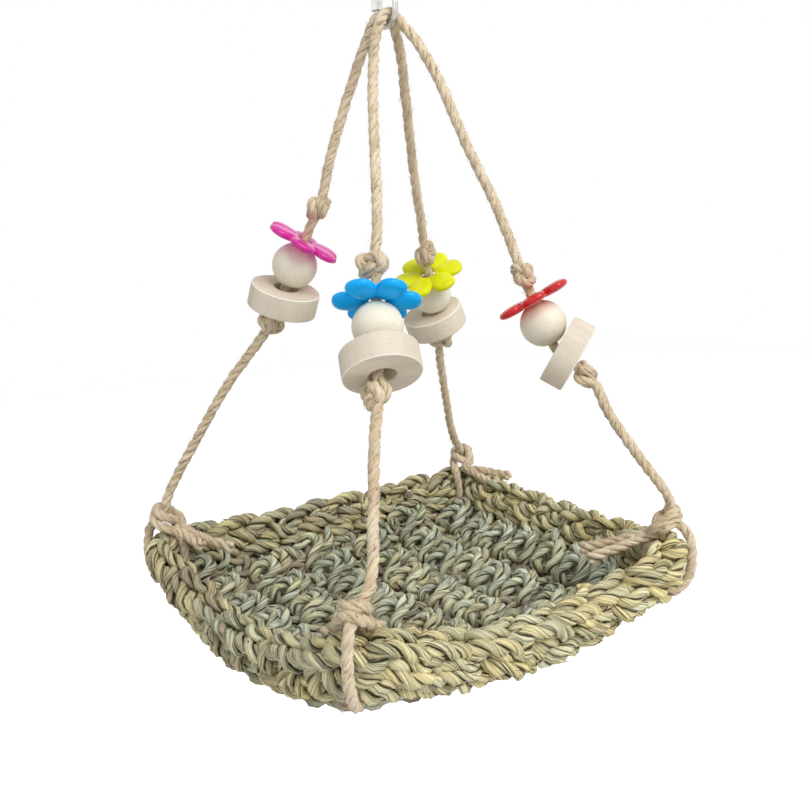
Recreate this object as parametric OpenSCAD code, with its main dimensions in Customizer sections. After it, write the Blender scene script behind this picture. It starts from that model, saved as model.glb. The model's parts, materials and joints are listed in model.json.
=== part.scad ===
// Bird hammock: a square crocheted seagrass mat that hangs by its four corners from two jute
// ropes, each folded in half through one small quick link. Every rope leg carries a plastic
// flower, a wooden ball and a wooden disc between two knots.
// Millimetres. +Z is up, X runs left to right, and the front edge of the mat faces -Y.
// The origin is the hang point: the inside top of the quick link.

/* [Quick link] */
// Diameter of the link's wire
link_wire_d = 2.5; // [2:0.1:3]
// Clear width inside the link
link_inner_w = 11.5; // [11:0.5:15]
// Clear height inside the link
link_inner_h = 27; // [26:0.5:34]
// Width of the sleeve nut across its flats
sleeve_w = 5; // [4.6:0.1:6]
// Length of the sleeve nut
sleeve_len = 8; // [6:0.5:8]
// Opening in the wire behind the sleeve nut
gate_gap = 4.2; // [3:0.1:5]
// Height of the closed sleeve nut above the lower bend
sleeve_seat = 0.6; // [0.4:0.1:1.2]
// Radial clearance of the sleeve nut on the wire
sleeve_clear = 0.3; // [0.2:0.05:0.4]

/* [Rope] */
// Diameter of the jute rope
rope_d = 4.5; // [3.8:0.1:4.6]
// Clearance between the ropes and the link, and between the two ropes
rope_clear = 0.4; // [0.3:0.05:0.5]
// Width of the knots above and below the beads
knot_w = 12.5; // [10:0.5:14]
// Height of the knots above and below the beads
knot_h = 10; // [8:0.5:11]
// Roundness of the turns of a knot
knot_turn_r = 2.9; // [2.2:0.1:2.9]
// Width of the knots on the rim of the mat
tie_knot_w = 10.5; // [8:0.5:12]
// Diameter of the loose rope ends
tail_d = 3.8; // [3:0.1:4.4]

/* [Beads] */
// Diameter of the wooden balls
ball_d = 20; // [18:0.5:22]
// Bore of the wooden balls
ball_bore = 6; // [5.4:0.1:8]
// Diameter of the wooden discs
disc_d = 31; // [26:0.5:36]
// Thickness of the wooden discs
disc_t = 10.5; // [8:0.5:11]
// Bore of the wooden discs
disc_bore = 10.8; // [10.4:0.1:12]
// Rounding of the discs' edges
disc_round = 2; // [0.5:0.1:3]
// Diameter of the flowers over the petal tips
flower_d = 35; // [32:0.5:38]
// Width of a petal
petal_w = 10.5; // [9:0.25:11.5]
// Thickness of a petal
petal_t = 4.6; // [3.6:0.1:5]
// Distance of a petal's inner tip from the flower's axis
petal_root = 2.5; // [1.5:0.1:3]
// Diameter of the thin web in the middle of a flower
hub_d = 12; // [10:0.5:14]
// Thickness of the thin web in the middle of a flower
hub_t = 2; // [1.4:0.1:2.4]
// Bore of the flowers
flower_bore = 7; // [6:0.1:8]
// Gap between beads that rest on each other
bead_gap = 0.35; // [0.3:0.05:0.6]

/* [Mat] */
// Length of the front edge, from corner to corner
mat_front_w = 180; // [160:1:200]
// Length of the back edge, from corner to corner
mat_back_w = 199; // [170:1:210]
// Distance from the front edge to the back edge
mat_depth = 181; // [160:1:200]
// Rounding of the mat's corners
mat_corner_r = 18; // [17:0.5:26]
// Drop from the link's lower wire to the rim at the corners
mat_drop = 222; // [216:1:236]
// Thickness of one braided rim row
row_d = 8.2; // [7.4:0.1:9]
// Height from one rim row to the next
row_pitch = 7.4; // [6.6:0.1:8]
// How far the lower row is drawn in under the upper row
row_tuck = 3.5; // [2:0.25:4.5]
// Thickness of the crocheted floor
floor_t = 8; // [6:0.5:10]
// Dip of the floor's middle below its edge
floor_dip = 5.5; // [0:0.5:8]
// Ridges that the crochet rows raise along the floor, from front to back
floor_ridges = 6; // [4:1:9]
// Rise of a ridge above the floor's mean height
ridge_rise = 3; // [0:0.25:4]
// How far the floor's edge is worked into the lower rim row
floor_bite = 0.8; // [0.4:0.1:1.2]
// Sag of the rim in the middle of the front edge
sag_front = 12; // [0:0.5:18]
// Sag of the rim in the middle of the right edge
sag_right = 3; // [0:0.5:18]
// Sag of the rim in the middle of the back edge
sag_back = 3; // [0:0.5:18]
// Sag of the rim in the middle of the left edge
sag_left = 17; // [0:0.5:18]

/* [Hidden] */
$fn = 48;
CORNERS = ["front_left", "front_right", "back_right", "back_left"];
SIDE = [[-1, -1], [1, -1], [1, 1], [-1, 1]];
PETAL_COLOURS = [[0.10, 0.50, 0.88], [0.80, 0.06, 0.10], [0.82, 0.84, 0.16], [0.82, 0.08, 0.52]];
JUTE = [0.72, 0.55, 0.34];
SEAGRASS = [0.55, 0.56, 0.40];
STRAW = [0.72, 0.66, 0.42];
STEEL = [0.75, 0.75, 0.74];
BIRCH = [0.90, 0.80, 0.62];
ALDER = [0.74, 0.60, 0.48];

// The link's bends and the lower wire that the ropes hang on
bend_r = (link_inner_w + link_wire_d) / 2;
wire_z = -link_inner_h - link_wire_d / 2;
side_low = wire_z + bend_r;
side_high = link_wire_d / 2 - bend_r;
sleeve_z = side_low + sleeve_seat;
gate_z = sleeve_z + (sleeve_len - gate_gap) / 2;

// The ropes lie side by side on the lower wire, each on its own half of the bend
bight_y = (rope_d + rope_clear) / 2;
bight_reach = bend_r - link_wire_d / 2 - rope_d / 2 - rope_clear;
bight_r = bend_r - sqrt(pow(bight_reach, 2) - pow(bight_y, 2));
bight_angles = [-62, -31, 0, 31, 62];

// Points on the legs, measured from the link's lower wire: the knots above and below the beads,
// and where the rope bends between the ball and the disc
UPPER_KNOTS = [[-32, -33, -98], [38.5, -39.5, -106], [39.5, 34.5, -97.5], [-26, 23, -74]];
RUN_BENDS = [[-41.5, -47, -128.5], [46.5, -47.5, -135], [49.5, 44, -122.5], [-37, 32.5, -103.5]];
LOWER_KNOTS = [[-47.2, -54.3, -143.6], [56.7, -57.7, -149], [56.8, 51.3, -139.6], [-44.3, 39.3, -121.8]];
// Lean of the beads on their ropes, about the two cross axes of the rope there
DISC_TILTS = [[-10, 4], [2, 14], [14, -8], [11, -9]];
FLOWER_TILTS = [[1, 2], [1, 7], [5, 5], [1, 6]];
// How far the discs hang off the rope's middle, and how the flowers are turned
DISC_SHIFTS = [[0, -1], [-1.6, 0], [0, 0], [1.2, 0.4]];
FLOWER_TURNS = [32, 34, 48, 42];
// Points that the legs pass through above the upper knots, downwards from the link
UPPER_ROUTES = [
    [[-9.5, -4, -10], [-15, -10, -30], [-21, -19, -56], [-28, -29, -84]],
    [[9, -9, -7], [15, -15, -23], [22.5, -23, -50], [31, -32, -77]],
    [[10, 5, -11], [17, 12.5, -32], [25, 21, -57], [34, 29, -82]],
    [[-9, 8, -12], [-15, 13.5, -32], [-21, 18.5, -54]]
];
// Points that the legs pass through between the lower knots and the rim, downwards
LOWER_ROUTES = [
    [[-54.5, -62, -161], [-63, -72.5, -185.5], [-71, -81, -206]],
    [[63, -64, -164.5], [73, -74, -186], [82.5, -83, -206]],
    [[61.5, 56, -153.5], [69, 63, -172.5], [79, 71, -198]],
    [[-59.5, 52.5, -147.5], [-74.5, 66, -177], [-86, 76, -202]]
];
// How much further than its tips a petal's domes reach, which leaves the tips blunt
petal_blunt = 1.1;
// Straight rope beside a knot
knot_lead = 5;
// Rope on each side of the bend that rounds it off
bend_ease = 1.5;

// The mat's plan: four corners with a common rounding, about a middle beside the link's axis
mat_middle = [1, -2.5];
mat_half = [mat_front_w / 2, mat_front_w / 2, mat_back_w / 2, mat_back_w / 2];
arc_steps = 5;
edge_steps = 9;
corner_steps = arc_steps + edge_steps;
rim_points = 4 * corner_steps;
SAGS = [sag_front, sag_right, sag_back, sag_left];
sag_fullness = 0.7;

// The rim rows, from the top down: how far in and how far below the rim's top they run
row_insets = [row_d / 2, row_d / 2 + row_tuck / 3, row_d / 2 + row_tuck];
row_depths = [row_d / 2, row_d / 2 + row_pitch, row_d / 2 + 2 * row_pitch];
row_sides = 8;

// The floor: how its dip and its ridges come in from the edge, and the steps of its grid
floor_inset = row_insets[2] + row_d / 2 - floor_bite;
floor_curve = 3;
ridge_fade = 3;
middle_share = 0.01;
ridge_steps = 4;
floor_steps = 7;
FLOOR_TURNS = [0, 30, 60, 90];
floor_r = mat_corner_r - floor_inset;
floor_len = mat_depth - 2 * floor_inset;
floor_straight = floor_len - 2 * floor_r;
mean_sag = (sag_front + sag_right + sag_back + sag_left) / 4;
floor_z = -mat_drop - mean_sag - row_depths[2] - floor_dip;

// The rope goes once round the rim at each corner, through the floor inside the rows
tie_gap = row_d / 2 + rope_d / 2 + rope_clear;
tie_slack = 1;
knot_sink = 2;
tie_out = tie_gap - row_insets[0];
tie_in = -row_insets[2] - tie_gap - tie_slack;
tie_bend_r = (tie_out - tie_in) / 2;
tie_mid = (tie_out + tie_in) / 2;
tie_low = tie_bend_r - tie_gap - row_depths[2];
tie_high = tie_knot_w / 2 - tie_bend_r + knot_sink;
tie_hole_d = rope_d + 2 * rope_clear;
tie_knot_h = 9;
tie_lean = 40;
tie_knot_turn_r = 2.4;
tail_bite = 1;
// Loose ends: direction inwards and downwards from each rim knot, and length
TAILS = [
    [[[-0.4, 1, -0.5], 17], [[1, 0.25, -0.5], 13]],
    [[[-0.75, 1, -0.38], 36], [[-1, 0.7, -0.45], 33]],
    [[[0.35, -1, 0.05], 27], [[0.05, -1, -0.15], 25]],
    [[[0.85, -0.7, -0.42], 30], [[0.5, -1, -0.42], 19]]
];

function unit(v) = v / norm(v);
function tilt_of(t) = acos(cos(t[0]) * cos(t[1]));

// A bead run: from the lower knot to the upper knot of one leg
function upper_knot(i) = UPPER_KNOTS[i] + [0, 0, wire_z];
function lower_knot(i) = LOWER_KNOTS[i] + [0, 0, wire_z];
function run_bend(i) = RUN_BENDS[i] + [0, 0, wire_z];
function low_axis(i) = unit(RUN_BENDS[i] - LOWER_KNOTS[i]);
function high_axis(i) = unit(UPPER_KNOTS[i] - RUN_BENDS[i]);

// A direction in a frame whose Z axis points along an axis, and the axis of a leaning bead
function turned(axis, v) =
    let (lean = acos(axis[2]), way = atan2(axis[1], axis[0]))
    let (x = v[0] * cos(lean) + v[2] * sin(lean))
    let (z = v[2] * cos(lean) - v[0] * sin(lean))
    [x * cos(way) - v[1] * sin(way), x * sin(way) + v[1] * cos(way), z];
function lean_of(t) = [sin(t[1]) * cos(t[0]), -sin(t[0]), cos(t[1]) * cos(t[0])];
function leaning(axis, t) = turned(axis, lean_of(t));

// How far a knot reaches towards a disc that leans on it, and a ball that sinks into a leaning bore
function knot_top(tilt) =
    (knot_w / 2 - knot_turn_r) * sin(tilt) + (knot_h / 2 - knot_turn_r) * cos(tilt) + knot_turn_r;
function ball_seat(bore, reach, tilt) =
    let (sunk = max(0, bore / 2 - reach * sin(tilt)))
    sqrt(pow(ball_d / 2, 2) - pow(sunk, 2));
function disc_middle(i) =
    let (tilt = tilt_of(DISC_TILTS[i]), shift = DISC_SHIFTS[i])
    let (face = lean_of(DISC_TILTS[i]))
    let (rise = knot_top(tilt) + bead_gap + disc_t / 2 - shift[0] * face[0] - shift[1] * face[1])
    lower_knot(i) + turned(low_axis(i), [shift[0], shift[1], rise / cos(tilt)]);
function ball_middle(i) =
    let (axis = leaning(low_axis(i), DISC_TILTS[i]), tilt = acos(axis * high_axis(i)))
    let (seat = ball_seat(disc_bore, (ball_d + disc_t) / 2, tilt) + bead_gap + disc_t / 2)
    let (from_disc = (run_bend(i) - disc_middle(i)) * axis)
    run_bend(i) + high_axis(i) * (seat - from_disc) / (high_axis(i) * axis);
function flower_middle(i) =
    let (tilt = tilt_of(FLOWER_TILTS[i]))
    let (seat = ball_seat(flower_bore, (ball_d + hub_t) / 2, tilt) + bead_gap + hub_t / 2)
    ball_middle(i) + high_axis(i) * seat / cos(tilt);
// How far the ball and the flower can ride up before the flower meets the upper knot
function bead_play(i) =
    norm(upper_knot(i) - flower_middle(i)) - (petal_t + knot_h) / 2 - bead_gap;

// The mat's outline, drawn in by an inset: point k of the way round
function mat_corner(q) = mat_middle + [SIDE[q][0] * mat_half[q], SIDE[q][1] * mat_depth / 2];
function arc_middle(q) = mat_corner(q) - SIDE[q] * mat_corner_r;
function arc_point(q, j, inset) =
    let (turn = 180 + 90 * q + 90 * j / arc_steps)
    arc_middle(q) + (mat_corner_r - inset) * [cos(turn), sin(turn)];
function outline(k, inset) =
    let (q = floor(k / corner_steps) % 4, j = k % corner_steps)
    j <= arc_steps
        ? arc_point(q, j, inset)
        : let (share = (j - arc_steps) / edge_steps)
          arc_point(q, arc_steps, inset) * (1 - share) + arc_point((q + 1) % 4, 0, inset) * share;
function rim_top(k) =
    let (q = floor(k / corner_steps) % 4, j = k % corner_steps)
    wire_z - mat_drop - SAGS[q] * pow(sin(180 * max(0, j - arc_steps) / edge_steps), sag_fullness);

// A rim tie stands on the diagonal of its corner: distance outwards from the rim, and height
function tie_dir(q) = SIDE[q] / sqrt(2);
function tie_point(q, out, up) =
    let (p = arc_middle(q) + (mat_corner_r + out) * tie_dir(q))
    [p[0], p[1], wire_z - mat_drop + up];
function tie_knot_middle(q) =
    let (reach = (row_d + tie_knot_w) / 2 + rope_clear)
    tie_point(q, -row_insets[0] - reach * sin(tie_lean), reach * cos(tie_lean) - row_depths[0]);
function leg_end(q) = LOWER_ROUTES[q][len(LOWER_ROUTES[q]) - 1] + [0, 0, wire_z];
function tie_axis(q) = unit(leg_end(q) - tie_knot_middle(q));

function rope_route(points) = [for (p = points) p + [0, 0, wire_z]];
function leg_route(i) = concat(
    [lower_knot(i) - low_axis(i) * knot_h / 2, lower_knot(i) - low_axis(i) * (knot_h / 2 + knot_lead)],
    rope_route(LOWER_ROUTES[i]),
    [tie_knot_middle(i) + tie_axis(i) * tie_knot_h / 2]
);
function upper_route(i) = concat(
    rope_route(UPPER_ROUTES[i]),
    [upper_knot(i) + high_axis(i) * (knot_h / 2 + knot_lead), upper_knot(i) + high_axis(i) * knot_h / 2]
);
function run_route(i) = [
    lower_knot(i) + low_axis(i) * knot_h / 2,
    run_bend(i) - low_axis(i) * bend_ease,
    run_bend(i) + high_axis(i) * bend_ease,
    upper_knot(i) - high_axis(i) * knot_h / 2
];
function reversed(p) = [for (k = [len(p) - 1 : -1 : 0]) p[k]];
function bight(y) = [for (a = bight_angles) [bight_r * sin(a), y, wire_z + bight_r * cos(a)]];
function top_route(left, right, y) = concat(reversed(upper_route(left)), bight(y), upper_route(right));

// A tube swept along a list of points, with flat ends
function along(p, k) = unit(p[min(k + 1, len(p) - 1)] - p[max(k - 1, 0)]);
function ring(middle, axis, side, r, n) =
    let (b = unit(cross(axis, side)), m = cross(b, axis))
    [for (k = [0 : n - 1]) middle + r * (cos(360 * k / n) * b + sin(360 * k / n) * m)];
function band(a, b, c, d) = [[a, b, c], [a, c, d]];

module tube(p, d, side, n = 10) {
    rings = len(p);
    points = [for (k = [0 : rings - 1]) each ring(p[k], along(p, k), side, d / 2, n)];
    walls = [
        for (k = [0 : rings - 2], s = [0 : n - 1])
            let (a = k * n + s, b = k * n + (s + 1) % n)
            each band(a, a + n, b + n, b)
    ];
    start_cap = [[for (s = [0 : n - 1]) s]];
    end_cap = [[for (s = [n - 1 : -1 : 0]) (rings - 1) * n + s]];
    polyhedron(points, concat(walls, start_cap, end_cap), convexity = 8);
}

// Turns the Z axis to a direction
module turned_to(axis) {
    rotate([0, acos(axis[2]), atan2(axis[1], axis[0])])
        children();
}

// Places a bead or a knot on its rope, leaning from the rope's direction there
module threaded(middle, axis, tilt = [0, 0]) {
    translate(middle)
        turned_to(axis)
            rotate([tilt[0], tilt[1], 0])
                children();
}

module link_side(y, low, high) {
    translate([0, y, low])
        cylinder(h = high - low, d = link_wire_d);
}

module link_bend(z, turn) {
    translate([0, 0, z])
        rotate([0, 0, 90])
            rotate([turn, 0, 0])
                rotate_extrude(angle = 180)
                    translate([bend_r, 0])
                        circle(d = link_wire_d);
}

module link_body() {
    color(STEEL) {
        link_bend(side_high, 90);
        link_bend(side_low, -90);
        link_side(-bend_r, side_low, side_high);
        link_side(bend_r, side_low, gate_z);
        link_side(bend_r, gate_z + gate_gap, side_high);
    }
}

module sleeve_nut() {
    across_corners = sleeve_w / cos(30);
    color(STEEL)
        translate([0, bend_r, sleeve_z])
            difference() {
                cylinder(h = sleeve_len, d = across_corners, $fn = 6);
                translate([0, 0, -1])
                    cylinder(h = sleeve_len + 2, d = link_wire_d + 2 * sleeve_clear);
            }
}

module rope_top(left, right, y) {
    color(JUTE)
        tube(top_route(left, right, y), rope_d, [0, 1, 0]);
}

module rope_run(i) {
    color(JUTE)
        tube(run_route(i), rope_d, [0, 1, 0]);
}

module rope_leg(i) {
    color(JUTE)
        tube(leg_route(i), rope_d, [0, 1, 0]);
}

// A knot seen from outside: two fat turns of rope with a groove between them
module knot_lump(w, h, turn_r) {
    rotate_extrude() {
        for (up = [-1, 1])
            translate([w / 2 - turn_r, up * (h / 2 - turn_r)])
                circle(r = turn_r);
        translate([0, -h / 2])
            square([w / 2 - turn_r, h]);
    }
}

module stop_knot(middle, axis) {
    color(JUTE)
        threaded(middle, axis)
            knot_lump(knot_w, knot_h, knot_turn_r);
}

module rim_loop_bend(up, turn) {
    translate([tie_mid, 0, up])
        rotate([turn, 0, 0])
            rotate_extrude(angle = 180)
                translate([tie_bend_r, 0])
                    circle(d = rope_d);
}

module rim_loop(q) {
    color(JUTE)
        translate(tie_point(q, 0, 0))
            rotate(atan2(SIDE[q][1], SIDE[q][0])) {
                rim_loop_bend(tie_high, 90);
                rim_loop_bend(tie_low, -90);
                for (out = [tie_out, tie_in])
                    translate([out, 0, tie_low])
                        cylinder(h = tie_high - tie_low, d = rope_d);
            }
}

module rim_knot(q) {
    color(JUTE)
        translate(tie_knot_middle(q))
            turned_to(tie_axis(q))
                knot_lump(tie_knot_w, tie_knot_h, tie_knot_turn_r);
}

module rope_ends(q) {
    root = tie_knot_w / 2 - tail_bite;
    color(JUTE)
        for (tail = TAILS[q])
            translate(tie_knot_middle(q) + root * unit(tail[0]))
                turned_to(unit(tail[0]))
                    cylinder(h = tail[1] - root, d = tail_d);
}

module ball(i) {
    color(BIRCH)
        threaded(ball_middle(i), high_axis(i))
            difference() {
                sphere(d = ball_d);
                cylinder(h = ball_d + 2, d = ball_bore, center = true);
            }
}

module disc(i) {
    flat_r = disc_d / 2 - disc_round;
    color(ALDER)
        threaded(disc_middle(i), low_axis(i), DISC_TILTS[i])
            rotate_extrude() {
                translate([disc_bore / 2, -disc_t / 2])
                    square([flat_r - disc_bore / 2, disc_t]);
                translate([flat_r, disc_round - disc_t / 2])
                    square([disc_round, disc_t - 2 * disc_round]);
                for (up = [-1, 1])
                    translate([flat_r, up * (disc_t / 2 - disc_round)])
                        circle(r = disc_round);
            }
}

// A petal is a flat almond with a crease all round: two arcs in plan between two domes
module petal() {
    half_len = (flower_d / 2 - petal_root) / 2;
    arc_r = (pow(half_len, 2) + pow(petal_w / 2, 2)) / petal_w;
    arc_off = arc_r - petal_w / 2;
    dome_reach = half_len * petal_blunt;
    dome_r = (pow(dome_reach, 2) + pow(petal_t / 2, 2)) / petal_t;
    dome_off = dome_r - petal_t / 2;
    translate([petal_root + half_len, 0, 0])
        intersection() {
            intersection_for (way = [-1, 1])
                translate([0, way * arc_off, 0])
                    cylinder(h = petal_t, r = arc_r, center = true);
            intersection_for (way = [-1, 1])
                translate([0, 0, way * dome_off])
                    sphere(r = dome_r);
        }
}

module flower(i) {
    color(PETAL_COLOURS[i])
        threaded(flower_middle(i), high_axis(i), FLOWER_TILTS[i])
            difference() {
                union() {
                    cylinder(h = hub_t, d = hub_d, center = true);
                    for (k = [0 : 5])
                        rotate(FLOWER_TURNS[i] + 60 * k)
                            petal();
                }
                cylinder(h = petal_t + 2, d = flower_bore, center = true);
            }
}

// A closed rim row: a round section carried along the outline
module rim_row(level) {
    r = row_d / 2;
    points = [
        for (k = [0 : rim_points - 1], s = [0 : row_sides - 1])
            let (turn = 360 * (s + 0.5) / row_sides)
            let (plan = outline(k, row_insets[level] - r * cos(turn)))
            [plan[0], plan[1], rim_top(k) - row_depths[level] + r * sin(turn)]
    ];
    walls = [
        for (k = [0 : rim_points - 1], s = [0 : row_sides - 1])
            let (a = k * row_sides + s, b = k * row_sides + (s + 1) % row_sides)
            let (c = (a + row_sides) % len(points), d = (b + row_sides) % len(points))
            each band(a, b, d, c)
    ];
    color(level == 0 ? STRAW : SEAGRASS)
        polyhedron(points, walls, convexity = 8);
}

// The floor is a grid: stations from front to back, each with its distance from the front edge
// and its half width, and columns across that follow the ridges
function round_station(q, turn) =
    [floor_r * (1 - cos(turn)), mat_half[q] - floor_inset - floor_r * (1 - sin(turn))];
function straight_station(share) =
    [floor_r + floor_straight * share, mat_half[0] * (1 - share) + mat_half[2] * share - floor_inset];
FLOOR_STATIONS = concat(
    [for (turn = FLOOR_TURNS) round_station(0, turn)],
    [for (k = [1 : floor_steps - 1]) straight_station(k / floor_steps)],
    [for (k = [len(FLOOR_TURNS) - 1 : -1 : 0])
        let (station = round_station(2, FLOOR_TURNS[k]))
        [floor_len - station[0], station[1]]]
);
floor_columns = floor_ridges * ridge_steps;

// Height of the floor's edge at a share of the way along one side of the rim
function edge_height(q, share) =
    wire_z - mat_drop - SAGS[q] * pow(max(0, sin(180 * share)), sag_fullness) - row_depths[2];
function side_share(along) =
    min(1, max(0, (along * floor_len - floor_r) / floor_straight));
// Mean height of the floor, from -1 to 1 across it and along it
function floor_height(across, along) =
    let (reach = max(abs(across), abs(along)), middle = wire_z + floor_z)
    let (a = across / max(reach, middle_share), b = along / max(reach, middle_share))
    let (edge = abs(a) > abs(b)
        ? edge_height(a > 0 ? 1 : 3, side_share((b + 1) / 2))
        : edge_height(b < 0 ? 0 : 2, (a + 1) / 2))
    middle + (edge - middle) * pow(reach, floor_curve);
// Point of the grid on one face of the floor, 1 above or -1 below
function floor_point(station, column, face) =
    let (across = 2 * column / floor_columns - 1, along = 2 * station[0] / floor_len - 1)
    let (fade = 1 - pow(max(abs(across), abs(along)), ridge_fade))
    let (rise = -ridge_rise * fade * cos(360 * column / ridge_steps))
    [
        mat_middle[0] + across * station[1],
        mat_middle[1] - floor_len / 2 + station[0],
        floor_height(across, along) + rise + face * floor_t / 2
    ];

module floor_sheet() {
    rows = len(FLOOR_STATIONS) - 1;
    wide = floor_columns + 1;
    below = (rows + 1) * wide;
    points = [
        for (face = [1, -1], station = FLOOR_STATIONS, column = [0 : floor_columns])
            floor_point(station, column, face)
    ];
    border = concat(
        [for (c = [0 : floor_columns - 1]) c],
        [for (r = [0 : rows - 1]) r * wide + floor_columns],
        [for (c = [floor_columns : -1 : 1]) rows * wide + c],
        [for (r = [rows : -1 : 1]) r * wide]
    );
    faces = concat(
        [for (r = [0 : rows - 1], c = [0 : floor_columns - 1])
            let (a = r * wide + c, b = a + wide)
            each concat(
                band(a, b, b + 1, a + 1),
                band(below + a, below + a + 1, below + b + 1, below + b)
            )],
        [for (k = [0 : len(border) - 1])
            let (a = border[k], b = border[(k + 1) % len(border)])
            each band(a, b, below + b, below + a)]
    );
    polyhedron(points, faces, convexity = 8);
}

module mat_floor() {
    color(SEAGRASS)
        difference() {
            floor_sheet();
            for (q = [0 : 3])
                translate(tie_point(q, tie_in, tie_low - floor_t))
                    cylinder(h = 3 * floor_t, d = tie_hole_d);
        }
}

link_body();
sleeve_nut();
rope_top(0, 1, -bight_y);  // rope_front_top
rope_top(3, 2, bight_y);  // rope_back_top
for (i = [0 : 3]) {
    rope_run(i);
    rope_leg(i);
    stop_knot(upper_knot(i), high_axis(i));
    stop_knot(lower_knot(i), low_axis(i));
    rim_loop(i);
    rim_knot(i);
    rope_ends(i);
    flower(i);
    ball(i);
    disc(i);
}
mat_floor();
rim_row(0);  // rim_row_upper
rim_row(1);  // rim_row_middle
rim_row(2);  // rim_row_lower
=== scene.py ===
"""Bird hammock: a crocheted seagrass mat that hangs on jute ropes with wooden and plastic beads.

The pieces are built round the packed part, in metres, in the part's own frame: +Z up, the front
edge of the mat towards -Y, and the origin at the inside top of the quick link.
"""

import json
import math

import bmesh
import bpy
import numpy as np
from bpy.props import FloatProperty, FloatVectorProperty, IntProperty, PointerProperty
from mathutils import Matrix, Vector
from mathutils.kdtree import KDTree


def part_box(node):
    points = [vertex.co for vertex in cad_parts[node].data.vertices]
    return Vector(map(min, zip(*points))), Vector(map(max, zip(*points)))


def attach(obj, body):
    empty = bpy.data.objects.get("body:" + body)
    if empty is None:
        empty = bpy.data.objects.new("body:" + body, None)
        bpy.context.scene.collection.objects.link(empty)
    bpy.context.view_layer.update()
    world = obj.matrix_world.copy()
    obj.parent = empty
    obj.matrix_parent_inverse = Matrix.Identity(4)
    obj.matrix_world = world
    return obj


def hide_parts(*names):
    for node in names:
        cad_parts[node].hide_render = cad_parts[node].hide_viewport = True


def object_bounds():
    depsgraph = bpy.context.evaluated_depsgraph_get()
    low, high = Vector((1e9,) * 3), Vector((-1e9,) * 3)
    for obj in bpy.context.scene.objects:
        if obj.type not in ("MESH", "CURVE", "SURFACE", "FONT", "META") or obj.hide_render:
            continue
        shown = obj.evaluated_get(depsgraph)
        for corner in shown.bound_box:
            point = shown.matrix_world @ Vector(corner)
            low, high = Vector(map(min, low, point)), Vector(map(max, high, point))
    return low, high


bl_info = {
    "name": "Bird Hammock",
    "version": (1, 0, 0),
    "blender": (4, 5, 0),
    "location": "View3D > Sidebar > Hammock",
    "description": "Builds a hanging bird hammock: ropes, beads, link and crocheted mat",
    "category": "Add Mesh",
}

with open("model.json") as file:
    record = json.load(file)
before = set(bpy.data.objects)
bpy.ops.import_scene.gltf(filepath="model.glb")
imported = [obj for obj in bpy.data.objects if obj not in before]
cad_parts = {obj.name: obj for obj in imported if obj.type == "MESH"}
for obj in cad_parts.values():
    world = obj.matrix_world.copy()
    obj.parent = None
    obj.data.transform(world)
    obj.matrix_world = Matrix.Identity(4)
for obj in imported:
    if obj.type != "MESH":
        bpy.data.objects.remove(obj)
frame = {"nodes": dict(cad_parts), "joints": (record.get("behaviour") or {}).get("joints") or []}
CAD_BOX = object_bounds()

CORNERS = ("front_left", "front_right", "back_right", "back_left")
SIDES = np.array(((-1, -1), (1, -1), (1, 1), (-1, 1)), float)

# Points of the ropes, measured from the middle of the link's lower wire
WIRE = np.array((0, 0, -0.02825))
BIGHT_RADIUS = 0.0051
BIGHT_ANGLES = (-62, -31, 0, 31, 62)
BIGHT_OFFSET = 0.00245
UPPER_KNOTS = np.array((
    (-0.032, -0.033, -0.098), (0.0385, -0.0395, -0.106),
    (0.0395, 0.0345, -0.0975), (-0.026, 0.023, -0.074)))
RUN_BENDS = np.array((
    (-0.0415, -0.047, -0.1285), (0.0465, -0.0475, -0.135),
    (0.0495, 0.044, -0.1225), (-0.037, 0.0325, -0.1035)))
LOWER_KNOTS = np.array((
    (-0.0472, -0.0543, -0.1436), (0.0567, -0.0577, -0.149),
    (0.0568, 0.0513, -0.1396), (-0.0443, 0.0393, -0.1218)))
UPPER_ROUTES = (
    ((-0.0095, -0.004, -0.010), (-0.015, -0.010, -0.030), (-0.021, -0.019, -0.056),
     (-0.028, -0.029, -0.084)),
    ((0.009, -0.009, -0.007), (0.015, -0.015, -0.023), (0.0225, -0.023, -0.050),
     (0.031, -0.032, -0.077)),
    ((0.010, 0.005, -0.011), (0.017, 0.0125, -0.032), (0.025, 0.021, -0.057),
     (0.034, 0.029, -0.082)),
    ((-0.009, 0.008, -0.012), (-0.015, 0.0135, -0.032), (-0.021, 0.0185, -0.054)),
)
LOWER_ROUTES = (
    ((-0.0545, -0.062, -0.161), (-0.063, -0.0725, -0.1855), (-0.071, -0.081, -0.206)),
    ((0.063, -0.064, -0.1645), (0.073, -0.074, -0.186), (0.0825, -0.083, -0.206)),
    ((0.0615, 0.056, -0.1535), (0.069, 0.063, -0.1725), (0.079, 0.071, -0.198)),
    ((-0.0595, 0.0525, -0.1475), (-0.0745, 0.066, -0.177), (-0.086, 0.076, -0.202)),
)
# The turn that each rope takes round its corner of the rim, up to the hitch on top:
# outwards from the rim, sideways along it and above its top edge
RIM_TURN = (
    (-0.0065, 0.0005, 0.0105), (-0.0015, 0, 0.0064), (0.0024, -0.0005, 0.001),
    (0.0032, -0.0005, -0.007), (0.0028, -0.0003, -0.015), (-0.0005, 0, -0.0215),
    (-0.0064, 0, -0.0250), (-0.0125, 0.0003, -0.0215), (-0.0155, 0.0008, -0.014),
    (-0.0157, 0.0015, -0.005), (-0.0145, 0.0028, 0.002), (-0.0095, 0.0050, 0.0045),
    (-0.0040, 0.0046, 0.0075), (-0.0026, 0.0004, 0.0100), (-0.0062, -0.0046, 0.0080),
    (-0.0108, -0.0048, 0.0052), (-0.0122, 0.0002, 0.0074), (-0.0088, 0.0046, 0.0100),
    (-0.0044, 0.0034, 0.0126), (-0.0040, -0.0016, 0.0132), (-0.0078, -0.0044, 0.0108),
    (-0.0122, -0.0044, 0.0060), (-0.0140, -0.0015, 0.0040))
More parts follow.
